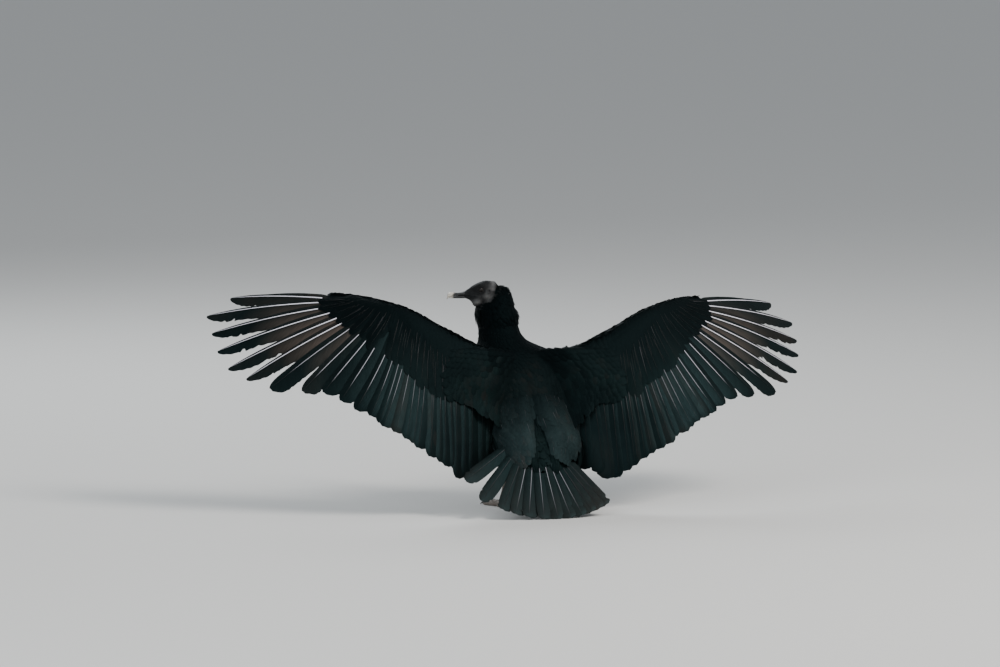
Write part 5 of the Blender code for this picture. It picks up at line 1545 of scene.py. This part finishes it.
for side, sign in SIDES:
    rows = []
    for turn in np.radians(np.arange(-84.0, 85.0, 12.0)):
        for u in np.arange(0.000, 0.405, 0.0062):
            rows.append((u + dice.uniform(-0.0026, 0.0026), turn + dice.normal(0, 0.07)))
    u, turn = np.array(rows).T
    here = arm_skin(sign, u, turn)
    rearward = np.where(np.sin(turn) >= 0, 1.0, -1.0)
    past = arm_skin(sign, u + 0.0012, turn + rearward * 0.02)
    outward = arm_skin(sign, u + 0.002, turn)
    lie = unit(past - here)
    out_way = unit(np.cross(outward - here, arm_skin(sign, u, turn + 0.02) - here)) * -sign
    middle_line = wing_at(sign, u, sum(arm_oval(u)[:2]) / 2, 0.0)
    flip = np.sign(np.einsum("ij,ij->i", out_way, here - middle_line + 1e-9))
    out_way = out_way * flip[:, None]
    lie = unit(lie - out_way * np.einsum("ij,ij->i", lie, out_way)[:, None])
    near_edge = np.clip(np.cos(turn), 0, 1)
    tilt = 0.07 + dice.normal(0, 0.02, len(u))
    out_tilt = unit(out_way - lie * np.sin(tilt)[:, None])
    long = ((0.0190 + 0.009 * (1 - near_edge)) * np.interp(u, (0.0, 0.3, 0.4), (1.15, 0.95, 0.75))
            * dice.uniform(0.85, 1.15, len(u)))
    wide = long * 0.62 * dice.uniform(0.9, 1.15, len(u))
    tone = np.clip(0.35 + 0.4 * cloud(here, 0.06, 71) + dice.normal(0, 0.2, len(u)), 0, 1)
    root_uv = np.c_[0.02 + 0.96 * (turn + 1.7) / 3.4, 0.01 + 2.2 * (u + 0.02)]
    planted_coat(f"small_coverts_{side}", placed(here - out_way * ROOT_DEPTH), out_tilt, lie,
                 np.c_[wide, long, long * 0.8], root_uv, tone, body_paint, 9)
for made in plumes:
    bpy.data.objects.remove(made)

# ------------------------------------------------------------------------------------------------------
# Camera, floor and light
# The bird is seen from behind, a little from its left and a little from above, through a long lens. It
# stands on a plain pale floor under a broad soft light from above and behind the viewer's right shoulder.
# ------------------------------------------------------------------------------------------------------
view_turn, view_rise, view_distance, view_width = math.radians(-17.4), math.radians(6.2), 15.0, 2.1
view_right = Vector((math.cos(view_turn), math.sin(view_turn), 0.0))
view_back = Vector((math.sin(view_turn) * math.cos(view_rise), -math.cos(view_turn) * math.cos(view_rise),
                    math.sin(view_rise)))
view_up = view_back.cross(view_right)
middle = Vector(ORIGIN) - view_right * 0.0672 + view_up * 0.367

lens = bpy.data.cameras.new("view")
lens.sensor_width = 36.0
lens.lens = 36.0 * view_distance / view_width
lens.clip_end = 200.0
camera = bpy.data.objects.new("view", lens)
camera.matrix_world = (Matrix.Translation(middle + view_back * view_distance)
                       @ Matrix((view_right, view_up, view_back)).transposed().to_4x4())
bpy.context.scene.collection.objects.link(camera)
bpy.context.scene.camera = camera

ground = bpy.data.meshes.new("floor")
ground.from_pydata([(-40, -40, 0), (40, -40, 0), (40, 40, 0), (-40, 40, 0)], [], [(0, 1, 2, 3)])
floor = bpy.data.objects.new("floor", ground)
bpy.context.scene.collection.objects.link(floor)
floor_paint, tree, floor_shader = new_paint("pale_floor")
floor_shader.inputs["Base Color"].default_value = (0.62, 0.61, 0.59, 1.0)
floor_shader.inputs["Roughness"].default_value = 0.9
ground.materials.append(floor_paint)

for name, place, wide, watts, tint in (
        ("key", (2.6, -3.4, 4.2), 2.2, 330.0, (1.0, 0.97, 0.93)),
        ("fill", (-3.4, -3.0, 2.2), 3.0, 85.0, (0.90, 0.96, 1.0)),
        ("rim", (-0.6, 3.2, 3.0), 2.0, 90.0, (0.92, 0.97, 1.0))):
    lamp = bpy.data.lights.new(name, "AREA")
    lamp.size = wide
    lamp.energy = watts
    lamp.color = tint
    lit = bpy.data.objects.new(name, lamp)
    lit.location = place
    lit.rotation_euler = (Vector((0.0, 0.0, 0.25)) - Vector(place)).to_track_quat("-Z", "Y").to_euler()
    bpy.context.scene.collection.objects.link(lit)
sky = bpy.data.worlds.new("room")
sky.use_nodes = True
sky.node_tree.nodes["Background"].inputs["Color"].default_value = (0.78, 0.84, 0.90, 1.0)
sky.node_tree.nodes["Background"].inputs["Strength"].default_value = 0.55
bpy.context.scene.world = sky

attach(skin, "root")
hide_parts("head", "neck", "trunk", "thigh_left", "thigh_right", "shank_left", "shank_right",
            "foot_left", "foot_right", "wing_left_arm", "wing_right_arm")
